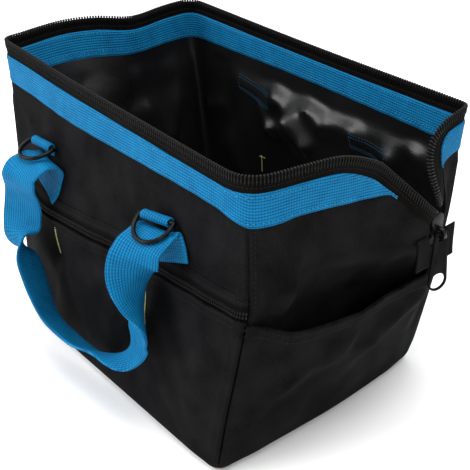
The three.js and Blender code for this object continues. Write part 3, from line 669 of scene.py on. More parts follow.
@dataclass(frozen=True)
class Webbing(Finish):
    """Woven webbing with lengthwise ribs crossed by picks, its colour darker in the hollows between them as
    painted shade.
    """

    # Colour of the hollows of the weave, made darker as painted shade
    shaded_valley: Triple = (0.0012, 0.045, 0.125)
    crown: Triple = (0.0045, 0.168, 0.36)
    rib: float = 0.0021
    pick: float = 0.0019
    rough: float = 0.62
    gloss: float = 0.07

    def dress(self, bench: NodeBench) -> None:
        """Adds the ribs and the picks that cross them, with painted shade in the hollows between them.

        Args:
            bench: Where the nodes go.
        """
        u, v = bench.uv()
        rib = bench.wave(v, self.rib)
        pick = bench.wave(u, self.pick)
        crossed = bench.math("ADD", bench.math("MULTIPLY", pick, 0.6), 0.4)
        dots = bench.math("MULTIPLY", bench.math("POWER", rib, 0.6), crossed)
        tone = bench.total((dots, 0.75), (bench.noise(90, 4), 0.5))
        # Colour runs from the hollows to the crowns of the weave as painted shade, mixed with tone that
        # varies at random
        bench.drive(Base_Color=bench.ramp(tone, self.shaded_valley, self.crown, 0.15, 0.85))
        bench.drive(Roughness=bench.span(dots, self.rough + 0.14, self.rough - 0.06))
        bench.drive(Specular_IOR_Level=self.gloss)
        bench.bump(dots, 0.00045, 0.9)


@dataclass(frozen=True)
class Nylon(Finish):
    """Hard nylon coil with a soft gloss."""

    dark: Triple = (0.0025, 0.0023, 0.0022)
    light: Triple = (0.0072, 0.0067, 0.0063)

    def dress(self, bench: NodeBench) -> None:
        """Adds the grain of the nylon.

        Args:
            bench: Where the nodes go.
        """
        grain = bench.noise(420, 3)
        bench.drive(Base_Color=bench.ramp(grain, self.dark, self.light, 0.3, 0.8))
        bench.drive(Roughness=bench.span(grain, 0.26, 0.4), Specular_IOR_Level=0.12)
        bench.bump(grain, 0.0001, 0.4)


@dataclass(frozen=True)
class DarkMetal(Finish):
    """Blackened metal with rubbed patches."""

    tone: float = 0.013
    metallic: float = 0.9
    rough: float = 0.34
    gloss: float = 0.3

    def dress(self, bench: NodeBench) -> None:
        """Adds the rubbed patches and a fine grain.

        Args:
            bench: Where the nodes go.
        """
        rub = bench.noise(130, 5)
        low = (self.tone * 0.6,) * 3
        high = (self.tone * 1.7, self.tone * 1.7, self.tone * 1.8)
        bench.drive(Base_Color=bench.ramp(rub, low, high, 0.35, 0.75))
        bench.drive(Metallic=self.metallic, Specular_IOR_Level=self.gloss)
        bench.drive(Roughness=bench.span(rub, self.rough - 0.08, self.rough + 0.14))
        bench.bump(bench.noise(900, 2), 0.00005, 0.5)


@dataclass(frozen=True)
class Thread(Finish):
    """Twisted sewing thread."""

    dark: Triple = (0.004, 0.09, 0.21)
    light: Triple = (0.014, 0.24, 0.47)

    def dress(self, bench: NodeBench) -> None:
        """Adds the twist of the thread.

        Args:
            bench: Where the nodes go.
        """
        twist = bench.noise(1400, 2)
        bench.drive(Base_Color=bench.ramp(twist, self.dark, self.light, 0.35, 0.65))
        bench.drive(Roughness=0.7, Specular_IOR_Level=0.2)
        bench.bump(twist, 0.0001, 0.6)


CANVAS = WovenCloth("black_canvas", "canvas")
LINING = CoatedLining("coated_lining", "canvas")
BLUE_WEBBING = Webbing("blue_webbing", "webbing_blue")
# Black webbing, darker in the hollows of its weave as painted shade
BLACK_WEBBING = Webbing(
    "black_webbing", "webbing_black", shaded_valley=(0.0022, 0.0022, 0.0026), crown=(0.0078, 0.0078, 0.0084),
    rib=0.0019, pick=0.0016, rough=0.78, gloss=0.04,
)
TAPE = WovenCloth("zip_tape_weave", "zip_tape", (0.0014, 0.0012, 0.0011), (0.0044, 0.0038, 0.0033), 0.0013)
COIL = Nylon("zip_coil_nylon", "zip_coil")
GUNMETAL = DarkMetal("gunmetal_black", "black_metal")
BLACK_PAINT = DarkMetal("satin_black_paint", "black_paint", tone=0.004, metallic=0.0, rough=0.45, gloss=0.03)
BLUE_THREAD = Thread("blue_thread", "webbing_blue")
BLACK_THREAD = Thread("black_thread", "canvas", (0.0025, 0.0025, 0.003), (0.0085, 0.0085, 0.009))
LIME_THREAD = Thread("lime_thread", "canvas", (0.17, 0.18, 0.05), (0.4, 0.41, 0.17))
# A darker copy of the blue thread for the boxes inside the bag: painted shade
SHADED_BLUE_THREAD = Thread("shaded_blue_thread", "webbing_blue", (0.002, 0.025, 0.06), (0.008, 0.1, 0.19))


class Sewing(NamedTuple):
    """Stitches or turns along a line: pitch, then length, width and height, in millimetres."""

    pitch: float
    size: Triple
    finish: Finish


BAND_SEAM = Sewing(3.3, (2.4, 0.75, 0.5), BLUE_THREAD)
ZIP_SEAM = Sewing(2.9, (2.0, 0.45, 0.3), BLACK_THREAD)
CORNER_SEAM = Sewing(3.4, (2.3, 0.45, 0.3), BLACK_THREAD)
HEM_SEAM = Sewing(3.3, (2.3, 0.45, 0.3), BLACK_THREAD)
# The boxes inside the bag use the darker copy of the blue thread, painted shade
BOX_SEAM = Sewing(2.4, (1.7, 0.55, 0.4), SHADED_BLUE_THREAD)
STRAP_SEAM = Sewing(2.6, (2.0, 0.8, 0.6), BLUE_THREAD)
TAB_SEAM = Sewing(2.8, (2.1, 0.7, 0.5), BLACK_THREAD)
THREAD_END = Sewing(0.9, (1.1, 1.2, 0.8), LIME_THREAD)
BAR_TACK = Sewing(0.95, (1.1, 1.9, 0.8), LIME_THREAD)
POCKET_TURNS = Sewing(2.1, (1.45, 2.7, 1.5), COIL)
COIL_TURNS = Sewing(2.35, (2.25, 3.1, 6.9), COIL)


def linked(name: str, data: bpy.types.ID) -> Object:
    """Puts a new object in the scene.

    Args:
        name: Name of the object.
        data: Its mesh, curve, lamp or camera.

    Returns:
        The object.
    """
    obj = bpy.data.objects.new(name, data)
    bpy.context.scene.collection.objects.link(obj)
    return obj


def plain_mesh(obj: Object) -> bpy.types.Mesh:
    """A plain mesh of an object as its modifiers or its curve make it."""
    graph = bpy.context.evaluated_depsgraph_get()
    return bpy.data.meshes.new_from_object(obj.evaluated_get(graph), depsgraph=graph)


def shade(mesh: bpy.types.Mesh, degrees: float) -> None:
    """Shades a mesh smooth, with sharp edges above an angle."""
    mesh.polygons.foreach_set("use_smooth", np.ones(len(mesh.polygons), bool))
    mesh.set_sharp_from_angle(angle=math.radians(degrees))


def smooth_piece(
    name: str, points: Array, faces: list, uv: Array, finishes: list[Finish],
    picks: list[int] | None = None,
) -> Object:
    """Makes a smooth shaded mesh object.

    Args:
        name: Name of the piece.
        points: Points in millimetres.
        faces: Tuples of point numbers.
        uv: Map position of each point in metres.
        finishes: Finishes of the piece.
        picks: Finish number of each face.

    Returns:
        The object.
    """
    mesh = bpy.data.meshes.new(name)
    mesh.from_pydata((np.asarray(points) * MM).tolist(), [], faces)
    layer = mesh.uv_layers.new(name="cloth")
    order = np.empty(len(mesh.loops), np.int32)
    mesh.loops.foreach_get("vertex_index", order)
    layer.data.foreach_set("uv", np.asarray(uv, np.float32)[order].ravel())
    for finish in finishes:
        mesh.materials.append(finish.material())
    if picks is not None:
        mesh.polygons.foreach_set("material_index", np.asarray(picks, np.int32))
    shade(mesh, SHARP_CLOTH)
    mesh.update()
    return linked(name, mesh)


def cloth_layer(
    name: str, outer: Array, inner: Array, uv: Array, finishes: list[Finish], closed: bool = False
) -> Object:
    """Makes a layer of cloth between two grids of points.

    Args:
        name: Name of the piece.
        outer: Outer grid, columns by rows.
        inner: Inner grid of the same size.
        uv: Map position of each grid point in metres.
        finishes: Outer finish, then inner finish if it differs.
        closed: Whether the last column joins the first.

    Returns:
        The object.
    """
    n, m = outer.shape[:2]
    number = np.arange(n * m).reshape(n, m)
    if closed:
        number = np.vstack([number, number[:1]])
    a, b, c, d = number[:-1, :-1], number[1:, :-1], number[1:, 1:], number[:-1, 1:]
    front = np.stack([a, b, c, d], -1).reshape(-1, 4)
    back = np.stack([a, d, c, b], -1).reshape(-1, 4) + n * m

    def side(row: Array, near: int, far: int) -> Array:
        """Quads between the two layers along one edge of the grid."""
        return np.stack([row[:-1] + near, row[1:] + near, row[1:] + far, row[:-1] + far], -1)

    parts = [front, back, side(number[:, 0], n * m, 0), side(number[:, -1], 0, n * m)]
    if not closed:
        parts += [np.roll(q, 1, -1) for q in (side(number[0], 0, n * m), side(number[-1], n * m, 0))]
    faces = np.vstack(parts)
    picks = np.zeros(len(faces), int)
    if len(finishes) > 1:
        picks[len(front):len(front) + len(back)] = 1
    points = np.vstack([outer.reshape(-1, 3), inner.reshape(-1, 3)])
    if signed_volume(points, faces) < 0:
        faces = faces[:, ::-1]
    maps = np.vstack([uv.reshape(-1, 2), uv.reshape(-1, 2)])
    return smooth_piece(name, points, faces.tolist(), maps, finishes, picks.tolist())


def signed_volume(points: Array, quads: Array) -> float:
    """Signed volume of a closed mesh of quads.

    Args:
        points: The points.
        quads: The faces.

    Returns:
        The volume, negative where faces point inwards.
    """
    p = points[quads]
    one = np.einsum("ij,ij->i", p[:, 0], np.cross(p[:, 1], p[:, 2]))
    two = np.einsum("ij,ij->i", p[:, 0], np.cross(p[:, 2], p[:, 3]))
    return float((one.sum() + two.sum()) / 6)


def lengths(points: Array) -> Array:
    """Length along a row of points at each point."""
    return np.concatenate([[0], np.cumsum(np.linalg.norm(np.diff(points, axis=0), axis=-1))])


def map_of(points: Array) -> Array:
    """Map positions in metres from the lengths along and across a grid.

    Args:
        points: Grid of points in millimetres, columns by rows.

    Returns:
        Map positions of the grid.
    """
    along = lengths(points[:, points.shape[1] // 2])
    steps = np.linalg.norm(np.diff(points, axis=1), axis=-1)
    across = np.concatenate([np.zeros((len(points), 1)), np.cumsum(steps, axis=1)], 1)
    return np.stack([np.broadcast_to(along[:, None], across.shape), across], -1) * MM


class RunShape(Enum):
    """What a run repeats."""

    STITCH = "stitch"
    TOOTH = "tooth"


class RunTree(TreeBench):
    """Geometry Nodes tree that repeats a small shape along lines."""

    def __init__(self, shape: RunShape) -> None:
        """Builds the tree.

        Args:
            shape: What is repeated.
        """
        self.tree = bpy.data.node_groups.new(f"run_of_{shape.value}", "GeometryNodeTree")
        face = self.tree.interface
        kinds = (("Lines", "Geometry"), ("Pitch", "Float"), ("Size", "Vector"), ("Finish", "Material"))
        self.ids = {
            name: face.new_socket(name, in_out="INPUT", socket_type=f"NodeSocket{kind}").identifier
            for name, kind in kinds
        }
        face.new_socket("Repeats", in_out="OUTPUT", socket_type="NodeSocketGeometry")
        given = self.add("NodeGroupInput").outputs
        lines = self.add("GeometryNodeMeshToCurve", Mesh=given["Lines"]).outputs[0]
        even = self.add("GeometryNodeResampleCurve", mode="LENGTH", Curve=lines, Length=given["Pitch"])
        named = self.add("GeometryNodeInputNamedAttribute", data_type="FLOAT_VECTOR", Name="facing")
        ahead = self.add("GeometryNodeInputTangent").outputs[0]
        turn = self.add("FunctionNodeAxesToRotation", primary_axis="Z", secondary_axis="X")
        self.tree.links.new(named.outputs[0], turn.inputs[0])
        self.tree.links.new(ahead, turn.inputs[1])
        shape_out = self.stitch() if shape is RunShape.STITCH else self.tooth()
        sized = self.add("GeometryNodeTransform", Geometry=shape_out, Scale=given["Size"]).outputs[0]
        placed = self.add(
            "GeometryNodeInstanceOnPoints", Points=even.outputs[0], Instance=sized, Rotation=turn.outputs[0]
        )
        plain = self.add("GeometryNodeRealizeInstances", Geometry=placed.outputs[0]).outputs[0]
        smooth = self.add("GeometryNodeSetShadeSmooth", Geometry=plain).outputs[0]
        dressed = self.add("GeometryNodeSetMaterial", Geometry=smooth, Material=given["Finish"]).outputs[0]
        end = self.add("NodeGroupOutput")
        self.tree.links.new(dressed, end.inputs[0])

    def stitch(self) -> Socket:
        """A stitch: a rounded grain of unit size."""
        return self.add("GeometryNodeMeshUVSphere", Segments=6, Rings=5, Radius=0.5).outputs["Mesh"]

    def tooth(self) -> Socket:
        """A coil turn: a round bar with a wider head at its upper end.

        Returns:
            The mesh socket.
        """
        bar = self.add("GeometryNodeMeshCylinder", Vertices=8, Radius=0.5, Depth=1.0).outputs["Mesh"]
        bar = self.add("GeometryNodeTransform", Geometry=bar, Scale=(0.6, 0.84, 0.9)).outputs[0]
        head = self.add("GeometryNodeMeshUVSphere", Segments=8, Rings=6, Radius=0.5).outputs["Mesh"]
        head = self.add(
            "GeometryNodeTransform", Geometry=head, Scale=(0.84, 1.0, 0.26), Translation=(0.0, 0.0, 0.38)
        ).outputs[0]
        join = self.add("GeometryNodeJoinGeometry")
        self.tree.links.new(bar, join.inputs[0])
        self.tree.links.new(head, join.inputs[0])
        return join.outputs[0]

    def run(self, name: str, lines: Lines, sewing: Sewing) -> Object:
        """Repeats the shape along lines and makes the result a plain mesh.

        Args:
            name: Name of the piece.
            lines: Points in millimetres and facing directions of each line.
            sewing: Pitch, size and finish of what is repeated.

        Returns:
            The object.
        """
        points = np.vstack([p for p, _ in lines]) * MM
        facing = unit(np.vstack([f for _, f in lines]))
        edges, start = [], 0
        for p, _ in lines:
            edges += [(start + i, start + i + 1) for i in range(len(p) - 1)]
            start += len(p)
        mesh = bpy.data.meshes.new(name)
        mesh.from_pydata(points.tolist(), edges, [])
        held = mesh.attributes.new("facing", "FLOAT_VECTOR", "POINT")
        held.data.foreach_set("vector", facing.astype(np.float32).ravel())
        obj = linked(name, mesh)
        modifier = obj.modifiers.new("run", "NODES")
        modifier.node_group = self.tree
        modifier[self.ids["Pitch"]] = sewing.pitch * MM
        modifier[self.ids["Size"]] = [s * MM for s in sewing.size]
        modifier[self.ids["Finish"]] = sewing.finish.material()
        made = plain_mesh(obj)
        obj.modifiers.remove(modifier)
        obj.data = made
        if not made.materials:
            made.materials.append(sewing.finish.material())
        return obj


class BagPiece:
    """Shared steps for the sub-assemblies of the bag."""

    body: str = "bag"
    stitches: RunTree

    def keep(self, obj: Object, finish: Finish, *nodes: str, body: str | None = None) -> None:
        """Puts a finished piece on its body and reports it.

        Args:
            obj: The piece.
            finish: Not used.
            *nodes: CAD nodes that it stands for.
            body: Body that it rides, if not the bag.
        """
        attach(obj, body or self.body)
        if nodes:
            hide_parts(*nodes)
        LOG.info("%s: %d faces", obj.name, len(obj.data.polygons))

    def layer(
        self, name: str, outer: Array, inner: Array, finishes: list[Finish], *nodes: str,
        uv: Array | None = None, closed: bool = False,
    ) -> None:
        """Makes a layer of cloth and keeps it, mapped by its outer grid unless told otherwise."""
        spots = map_of(outer) if uv is None else uv
        self.keep(cloth_layer(name, outer, inner, spots, finishes, closed), finishes[0], *nodes)

    def stitch(self, name: str, lines: Lines, sewing: Sewing) -> None:
        """Sews along lines and keeps the thread."""
        self.keep(self.stitches.run(name, lines, sewing), sewing.finish)


def seam_ridge(distance: Array) -> Array:
    """Height of the welts beside a sewn corner, with a groove between, by distance from the seam."""
    far = np.abs(distance)
    return 1.1 * bell(far - 3.2, 2.2) + 0.35 * bell(far - 8.5, 2.6) - 0.8 * bell(far, 1.1)


def spaced(length: float, fine: float = SEAM_STEP, step: float = 3.0) -> Array:
    """Places along a wall, closer together at both corner seams.

    Args:
        length: Length of the wall in millimetres.
        fine: Step near the seams.
        step: Step elsewhere.

    Returns:
        Shares of the length from zero to one.
    """
    ends = np.arange(0, SEAM_REACH, fine)
    count = int((length - 2 * SEAM_REACH) / step)
    middle = np.linspace(SEAM_REACH, length - SEAM_REACH, count)
    return np.concatenate([ends, middle, length - ends[::-1]]) / length


def two_steps(split: float, first: int, second: int) -> Array:
    """Shares from zero to one with different spacing on both sides of a split."""
    return np.concatenate([np.linspace(0, split, first)[:-1], np.linspace(split, 1, second)])


def welt(far: Array, z: Array) -> Array:
    """Height of the corner welts, fading out towards the foot."""
    return seam_ridge(far) * ease((z - WELT_FOOT) / WELT_RISE)


WALL_LENGTHS = {Wall.FRONT: 290.0, Wall.RIGHT: 200.0, Wall.BACK: 290.0, Wall.LEFT: 198.0}


@dataclass
class Mouth(BagPiece):
    """The blue band round the mouth and the two halves of the open zip."""

    teeth: RunTree
    stitches: RunTree
    band_thick: float = 3.2
    tape_thick: float = 1.4
    zip_tall: float = 12.0
    seam_share: float = 0.53
    seam_clear: float = 0.004
    end_step: float = 2.4
    levels: dict[Wall, Array] = field(default_factory=lambda: {
        # share of the wall, foot of the band, top of the zip
        Wall.LEFT: np.array([[0, 201, 235.5], [0.38, 203, 236], [0.55, 205, 240], [1, 206, 239]], float),
        Wall.FRONT: np.array([
            [0, 206, 239], [0.12, 205, 238], [0.32, 201, 235],
            [0.62, 201.5, 232.5], [0.9, 201.5, 230.5], [1, 196, 231.5],
        ], float),
        Wall.BACK: np.array([[0, 200, 235], [0.5, 203, 234], [1, 201, 235.5]], float),
    })
    front_rows: Array = table(
        # zip top y and z, tape foot y and z, band foot y and z on the right end
        [-93.5, 231.5, -93.5, 219.5, -93.5, 196],
        [-86, 231.5, -86, 219.5, -86, 196],
        [-70, 232, -70, 220, -70, 197],
        [-50, 233, -50, 221, -50, 198],
        [-21, 232, -23, 220.5, -22, 197],
        [10, 219.5, 3, 209.5, 4, 195.5],
        [26, 205.5, 17.5, 197.3, 18, 194],
        [31, 200.5, 22.5, 192.5, 21.8, 191],
        [40, 191, 31.5, 182.5, 31.5, 182.5],
        [50, 180, 41.5, 172, 41.5, 172],
        [57, 174, 48, 165.6, 48, 165.6],
    )
    back_rows: Array = table(
        [103, 235, 103, 222.8, 103, 200],
        [95, 234.5, 95, 222.5, 95, 200],
        [88, 232.5, 88, 221, 88, 199],
        [77, 229.5, 80, 218, 80, 198],
        [63, 222, 75, 211, 76, 197],
        [56, 211, 73.6, 204, 74.2, 196.5],
        [54, 202, 73.6, 199, 73.8, 196.3],
        [55, 192, 73.6, 190, 73.6, 190],
        [58.5, 181, 73.6, 180, 73.6, 180],
        [62, 174, 73.6, 172, 73.6, 172],
    )
    banded: dict[Half, int] = field(default_factory=lambda: {Half.FRONT: 8, Half.BACK: 7})

    def low(self, wall: Wall, t: Array) -> Array:
        """Height of the band's foot along a wall."""
        return smooth_read(self.levels[wall], 1, t)

    def end_table(self, half: Half) -> Array:
        """Table of one half on the right end."""
        return self.front_rows if half is Half.FRONT else self.back_rows

    def end_rows(self, half: Half, rows: int) -> Array:
        """Rows of one half on the right end at an even spacing.

        Args:
            half: Which half.
            rows: How many table rows are used.

        Returns:
            Table of the same columns with more rows.
        """
        used = self.end_table(half)[:rows]
        used = np.column_stack([lengths(used[:, :2]), used])
        far = used[-1, 0]
        at = np.linspace(0, far, int(far / self.end_step) + 1)
        return np.stack([smooth_read(used, k, at) for k in range(1, 7)], -1)

    def stretches(self, half: Half, rows: int) -> list[tuple[Wall, Array, Array, Array]]:
        """Stretches of one half, from the left end round to the right end.

        Args:
            half: Which half.
            rows: How many table rows are used on the right end.

        Returns:
            For each wall, places of the band's foot, the tape's foot and the zip's top as share and height.
        """
        found = []
        left = spaced(WALL_LENGTHS[Wall.LEFT])
        if half is Half.FRONT:
            first = np.concatenate([[self.seam_share], left[left > self.seam_share + self.seam_clear]])
            order = [(Wall.LEFT, first), (Wall.FRONT, spaced(WALL_LENGTHS[Wall.FRONT]))]
        else:
            first = np.concatenate([[self.seam_share], left[left < self.seam_share - self.seam_clear][::-1]])
            order = [(Wall.LEFT, first), (Wall.BACK, spaced(WALL_LENGTHS[Wall.BACK])[::-1])]
        for wall, t in order:
            top = smooth_read(self.levels[wall], 2, t)
            low = np.stack([t, self.low(wall, t)], -1)
            found.append((wall, low, np.stack([t, top - self.zip_tall], -1), np.stack([t, top], -1)))
        end = self.end_rows(half, rows)
        places = []
        for k in (4, 2, 0):
            share = np.clip(FORM.share_at(Wall.RIGHT, end[:, k], end[:, k + 1]), 0, 1)
            places.append(np.stack([share, end[:, k + 1]], -1))
        found.append((Wall.RIGHT, *places))
        return found

    def strip(
        self, half: Half, rows: int, kind: Strip, shares: Array, outs: Array, ins: Array, droop: float = 0.0
    ) -> Pair:
        """Points of a strip of the mouth.

        Args:
            half: Which half.
            rows: How many table rows are used on the right end.
            kind: Which strip.
            shares: Shares of the way up the strip.
            outs: Distance of the outer layer off the wall's middle.
            ins: Distance of the inner layer off the wall's middle.
            droop: Size of a slow wave along the strip.

        Returns:
            The outer and inner grids.
        """
        outer, inner = [], []
        for stretch in self.stretches(half, rows):
            wall, low, high = stretch[0], stretch[kind.value], stretch[kind.value + 1]
            place = low[:, None] + (high - low)[:, None] * shares[None, :, None]
            t, z = place[..., 0], place[..., 1]
            p, n = FORM.with_normal(FORM.skin(wall), t, z)
            run = p[..., 0] + p[..., 1]
            wave = droop * np.sin(run * 0.21 + 2.0 * np.sin(run * 0.037)) * (1 - shares[None])
            outer.append(p + n * (outs[None] - CLOTH / 2 + wave)[..., None])
            inner.append(p + n * (ins[None] - CLOTH / 2 + wave)[..., None])
        return np.concatenate(outer), np.concatenate(inner)

    def line(self, half: Half, rows: int, kind: Strip, share: float, off: float) -> Pair:
        """A line along a strip with the direction that it faces.

        Args:
            half: Which half.
            rows: How many table rows are used on the right end.
            kind: Which strip.
            share: Share of the way up the strip.
            off: Distance off the wall's middle.

        Returns:
            Points and facing directions.
        """
        outs = np.array([off])
        outer, inner = self.strip(half, rows, kind, np.array([share]), outs, outs - 1.0)
        return outer[:, 0], (outer - inner)[:, 0]

    def build(self) -> None:
        """Builds the bands, tapes, coils and their stitches."""
        edge = np.array([0, 0.015, 0.04, 0.09, 0.2, 0.35, 0.5, 0.65, 0.8, 0.91, 0.96, 0.985, 1.0])
        body = np.array([0.45, 0.8, 0.96, 1.0, 0.95, 0.98, 1.0, 0.98, 0.95, 1.0, 0.96, 0.8, 0.5])
        body = body * self.band_thick / 2
        off = self.band_thick / 2 + SEWN_OFF
        for half in Half:
            rows, name = self.banded[half], half.value
            outer, inner = self.strip(half, rows, Strip.BAND, edge, body, -body, 0.18)
            self.layer(f"blue_band_{name}", outer, inner, [BLUE_WEBBING], f"mouth_band_{name}")
            full = len(self.end_table(half))
            climb = np.linspace(-0.12, 0.56, 8)
            thick = np.full(8, self.tape_thick / 2)
            outer, inner = self.strip(half, full, Strip.ZIP, climb, thick, -thick)
            self.layer(f"tape_of_zip_{name}", outer, inner, [TAPE], f"zip_tape_{name}")
            self.coil(half, full)
            sewn = [self.line(half, rows, Strip.BAND, s, off) for s in (0.14, 0.88)]
            sewn += [self.line(half, rows, Strip.BAND, s, -off) for s in (0.14, 0.24, 0.88)]
            self.stitch(f"band_stitches_{name}", sewn, BAND_SEAM)

    def coil(self, half: Half, rows: int) -> None:
        """Builds the coil of one half: its turns, and the cord that they are sewn over.

        Args:
            half: Which half.
            rows: How many table rows are used on the right end.
        """
        name = half.value
        foot, _ = self.line(half, rows, Strip.ZIP, 0.72, 0.0)
        head, _ = self.line(half, rows, Strip.ZIP, 0.9, 0.0)
        lines = [(foot, unit(head - foot))]
        turns = self.teeth.run(f"turns_of_zip_{name}", lines, COIL_TURNS)
        self.keep(turns, COIL, f"zip_coil_{name}")
        bead = np.array([0.50, 0.53, 0.57, 0.63, 0.72, 0.8, 0.86])
        puff = np.array([0.5, 0.8, 0.9, 0.8, 0.5, 0.45, 0.3])
        outer, inner = self.strip(half, rows, Strip.ZIP, bead, puff, -puff)
        self.layer(f"cord_of_zip_{name}", outer, inner, [TAPE])
        sewn = [self.line(half, rows, Strip.ZIP, 0.3, side) for side in (0.75, -0.75)]
        self.stitch(f"zip_stitches_{name}", sewn, ZIP_SEAM)


@dataclass
class Shell(BagPiece):
    """The sagging cloth body: outside canvas, coated inside, and the base."""

    mouth: Mouth
    stitches: RunTree
    foot: float = 2.8
    base_thick: float = 2.5
    base_inset: float = 3.2
    tuck: float = 3.0
    creased: Zone = Zone(8, 30, 197, 14)
    end_creased: Zone = Zone(8, 30, 189, 14)
    loose: Zone = Zone(4, 20, 192, 12)
    welt_top: float = 198.0
    welt_fall: float = 8.0
    crumple: Ripple = Ripple(46, 0.55, 11)
    slack: Ripple = Ripple(60, 0.7, 31)
    slack_stretch: float = 0.6
    base_crumple: Ripple = Ripple(50, 0.4, 5)
    seam_fade: float = 16.0
    seam_stitch: float = 5.6
    cap_radius: float = 0.009
    notch: Array = table(
        [30, 183.4], [41, 171.8], [48, 164.6], [54, 148.3], [73, 148.3], [74.1, 195.8],
    )
    creases: dict[Wall, list[Fold]] = field(default_factory=lambda: {
        Wall.FRONT: folds(
            (-20, 186, 20, 150, -0.8, 9), (85, 185, 120, 150, 1.2, 10), (100, 186, 128, 165, -0.8, 7),
            (-125, 185, -112, 150, 0.9, 8), (20, 170, 40, 140, 0.7, 9),
        ),
        Wall.RIGHT: folds(
            (-60, 171, -62, 150, 3.4, 7), (-62, 150, -66, 129, 3.4, 7), (-82, 177, -58, 172, 2.4, 6),
            (-58, 172, -10, 150, 3.0, 7), (-10, 150, 27, 134, 2.4, 7), (-93, 142, -70, 133, 1.6, 5),
            (30, 178, 12, 160, -1.8, 6), (80, 185, 76, 130, 2.2, 5), (90, 180, 86, 120, -1.6, 5),
        ),
        Wall.BACK: folds(
            (-120, 190, -90, 60, 1.6, 10), (110, 180, 90, 40, -1.5, 9), (10, 195, 40, 90, 1.3, 12),
            (-40, 120, -80, 30, -1.6, 9),
        ),
        Wall.LEFT: folds(
            (30, 195, 50, 90, -2.0, 10), (-20, 190, -45, 80, 2.0, 11), (-60, 160, -20, 60, -1.6, 9),
            (70, 120, 20, 40, 1.8, 10),
        ),
    })
    inside_folds: dict[Wall, list[Fold]] = field(default_factory=lambda: {
        Wall.BACK: folds(
            (-46, 180, -17, 168, 9, 7), (-17, 168, -1, 152, 9, 6), (-1, 152, 1, 132, 7, 6),
            (-62, 161, -52, 148, 6.5, 6), (-52, 148, -23, 157, 7.5, 7), (-22, 157, -18, 138, 6.5, 5),
            (-8, 190, -5, 182, 3, 5), (-5, 182, 12, 173, 5.5, 6), (12, 173, 46, 179, 4.6, 6),
            (-97, 177, -55, 173, 3, 8), (46, 172, 82, 168, 3.5, 8), (-142, 138, -126, 146, 3.5, 7),
            (84, 166, 98, 142, 4, 6), (104, 184, 118, 172, 4, 7), (10, 140, 40, 120, 4, 12),
            (-110, 110, -70, 60, 4, 14), (60, 110, 20, 50, 4, 14),
        ),
        Wall.LEFT: folds((40, 150, 66, 110, 4, 12), (80, 170, 60, 120, 3.5, 9), (-20, 150, 10, 80, 4, 14)),
        Wall.FRONT: folds((-60, 160, -20, 80, 3, 14), (40, 150, 80, 60, 3, 14)),
        Wall.RIGHT: folds((-40, 130, 10, 60, 3, 14), (60, 110, 30, 50, 3, 12)),
    })
    boxes: tuple[tuple[float, float, float, float, float], ...] = (
        # sewn boxes on the inside of the back: start and end of the top edge, height
        (-97, 184, -55, 180, 13.5), (45, 177.5, 82, 174, 12),
    )

    def top_edge(self, wall: Wall, t: Array) -> Array:
        """Top edge of the cloth, tucked a little way into the band.

        Args:
            wall: The wall.
            t: Shares along it.

        Returns:
            Heights.
        """
        if wall is not Wall.RIGHT:
            return self.mouth.low(wall, t) + self.tuck
        rows = [r[4:] + (0, self.tuck) for r in self.mouth.front_rows[:8]]
        rows[-1] = rows[-1] - (0, self.tuck)
        back = [r[4:] + (0, self.tuck) for r in self.mouth.back_rows[:5]][::-1]
        edge = np.vstack([rows, self.notch, back])
        order = np.argsort(edge[:, 0], kind="stable")
        y = FORM.point(wall, t, np.full_like(t, 190.0), no_push)[..., 1]
        return np.interp(y, edge[order, 0], edge[order, 1])

    def push(self, wall: Wall) -> Push:
        """Push of a wall with its creases.

        Args:
            wall: The wall.

        Returns:
            The push function.
        """
        base = FORM.wall_push(wall)
        zone = self.end_creased if wall is Wall.RIGHT else self.creased

        def with_creases(at: Array, z: Array) -> Array:
            """Swells, broad folds, creases and ripples, calm at the foot and under the band."""
            small = fold_push(self.creases[wall], at, z, CREST) + self.crumple.push(at, z, wall.number)
            return base(at, z) + zone.at(z) * small

        return with_creases

    def wrinkles(self, wall: Wall, at: Array, z: Array) -> Array:
        """How far the coated inside stands in from the outside.

        Args:
            wall: The wall.
            at: Places along the wall.
            z: Heights.

        Returns:
            Extra thickness in millimetres.
        """
        slack = np.abs(self.slack.push(at, z * self.slack_stretch, wall.number))
        return (slack + fold_push(self.inside_folds[wall], at, z, INSIDE_CREST)) * self.loose.at(z)

    def skin(self, wall: Wall, t: Array, z: Array) -> Pair:
        """Points and outward normals of the creased outside of a wall."""
        return FORM.with_normal(lambda a, b: FORM.point(wall, a, b, self.push(wall)), t, z)

    def lining(self, wall: Wall, t: Array, z: Array) -> Pair:
        """Points of the coated inside of a wall and the directions into the bag.

        Args:
            wall: The wall.
            t: Shares along it.
            z: Heights.

        Returns:
            The points and the directions.
        """
        p, n = self.skin(wall, t, z)
        near = ease(np.minimum(t, 1 - t) * WALL_LENGTHS[wall] / self.seam_fade)
        depth = CLOTH + self.wrinkles(wall, p[..., FORM.axis(wall)], z) * near
        return p - n * depth[..., None], -n

    def build(self) -> None:
        """Builds the walls as one lofted shell, and the base."""
        outer, inner = [], []
        share = two_steps(0.05, 6, 62)
        for wall in Wall:
            length = WALL_LENGTHS[wall]
            t = spaced(length, step=2.8)[:-1]
            top = self.top_edge(wall, t)
            z = self.foot + (top - self.foot)[:, None] * share[None]
            p, n = self.skin(wall, t[:, None], z)
            far = (np.minimum(t, 1 - t) * length)[:, None]
            ridge = welt(far, z) * ease((self.welt_top - z) / self.welt_fall)
            outer.append(p + n * ridge[..., None])
            inner.append(self.lining(wall, t[:, None], z)[0])
        out_grid, in_grid = np.concatenate(outer), np.concatenate(inner)
        nodes = ("front_panel", "right_end_panel", "back_panel", "left_end_panel")
        self.layer("bag_shell", out_grid, in_grid, [CANVAS, LINING], *nodes, closed=True)
        self.base()
        self.sewing()

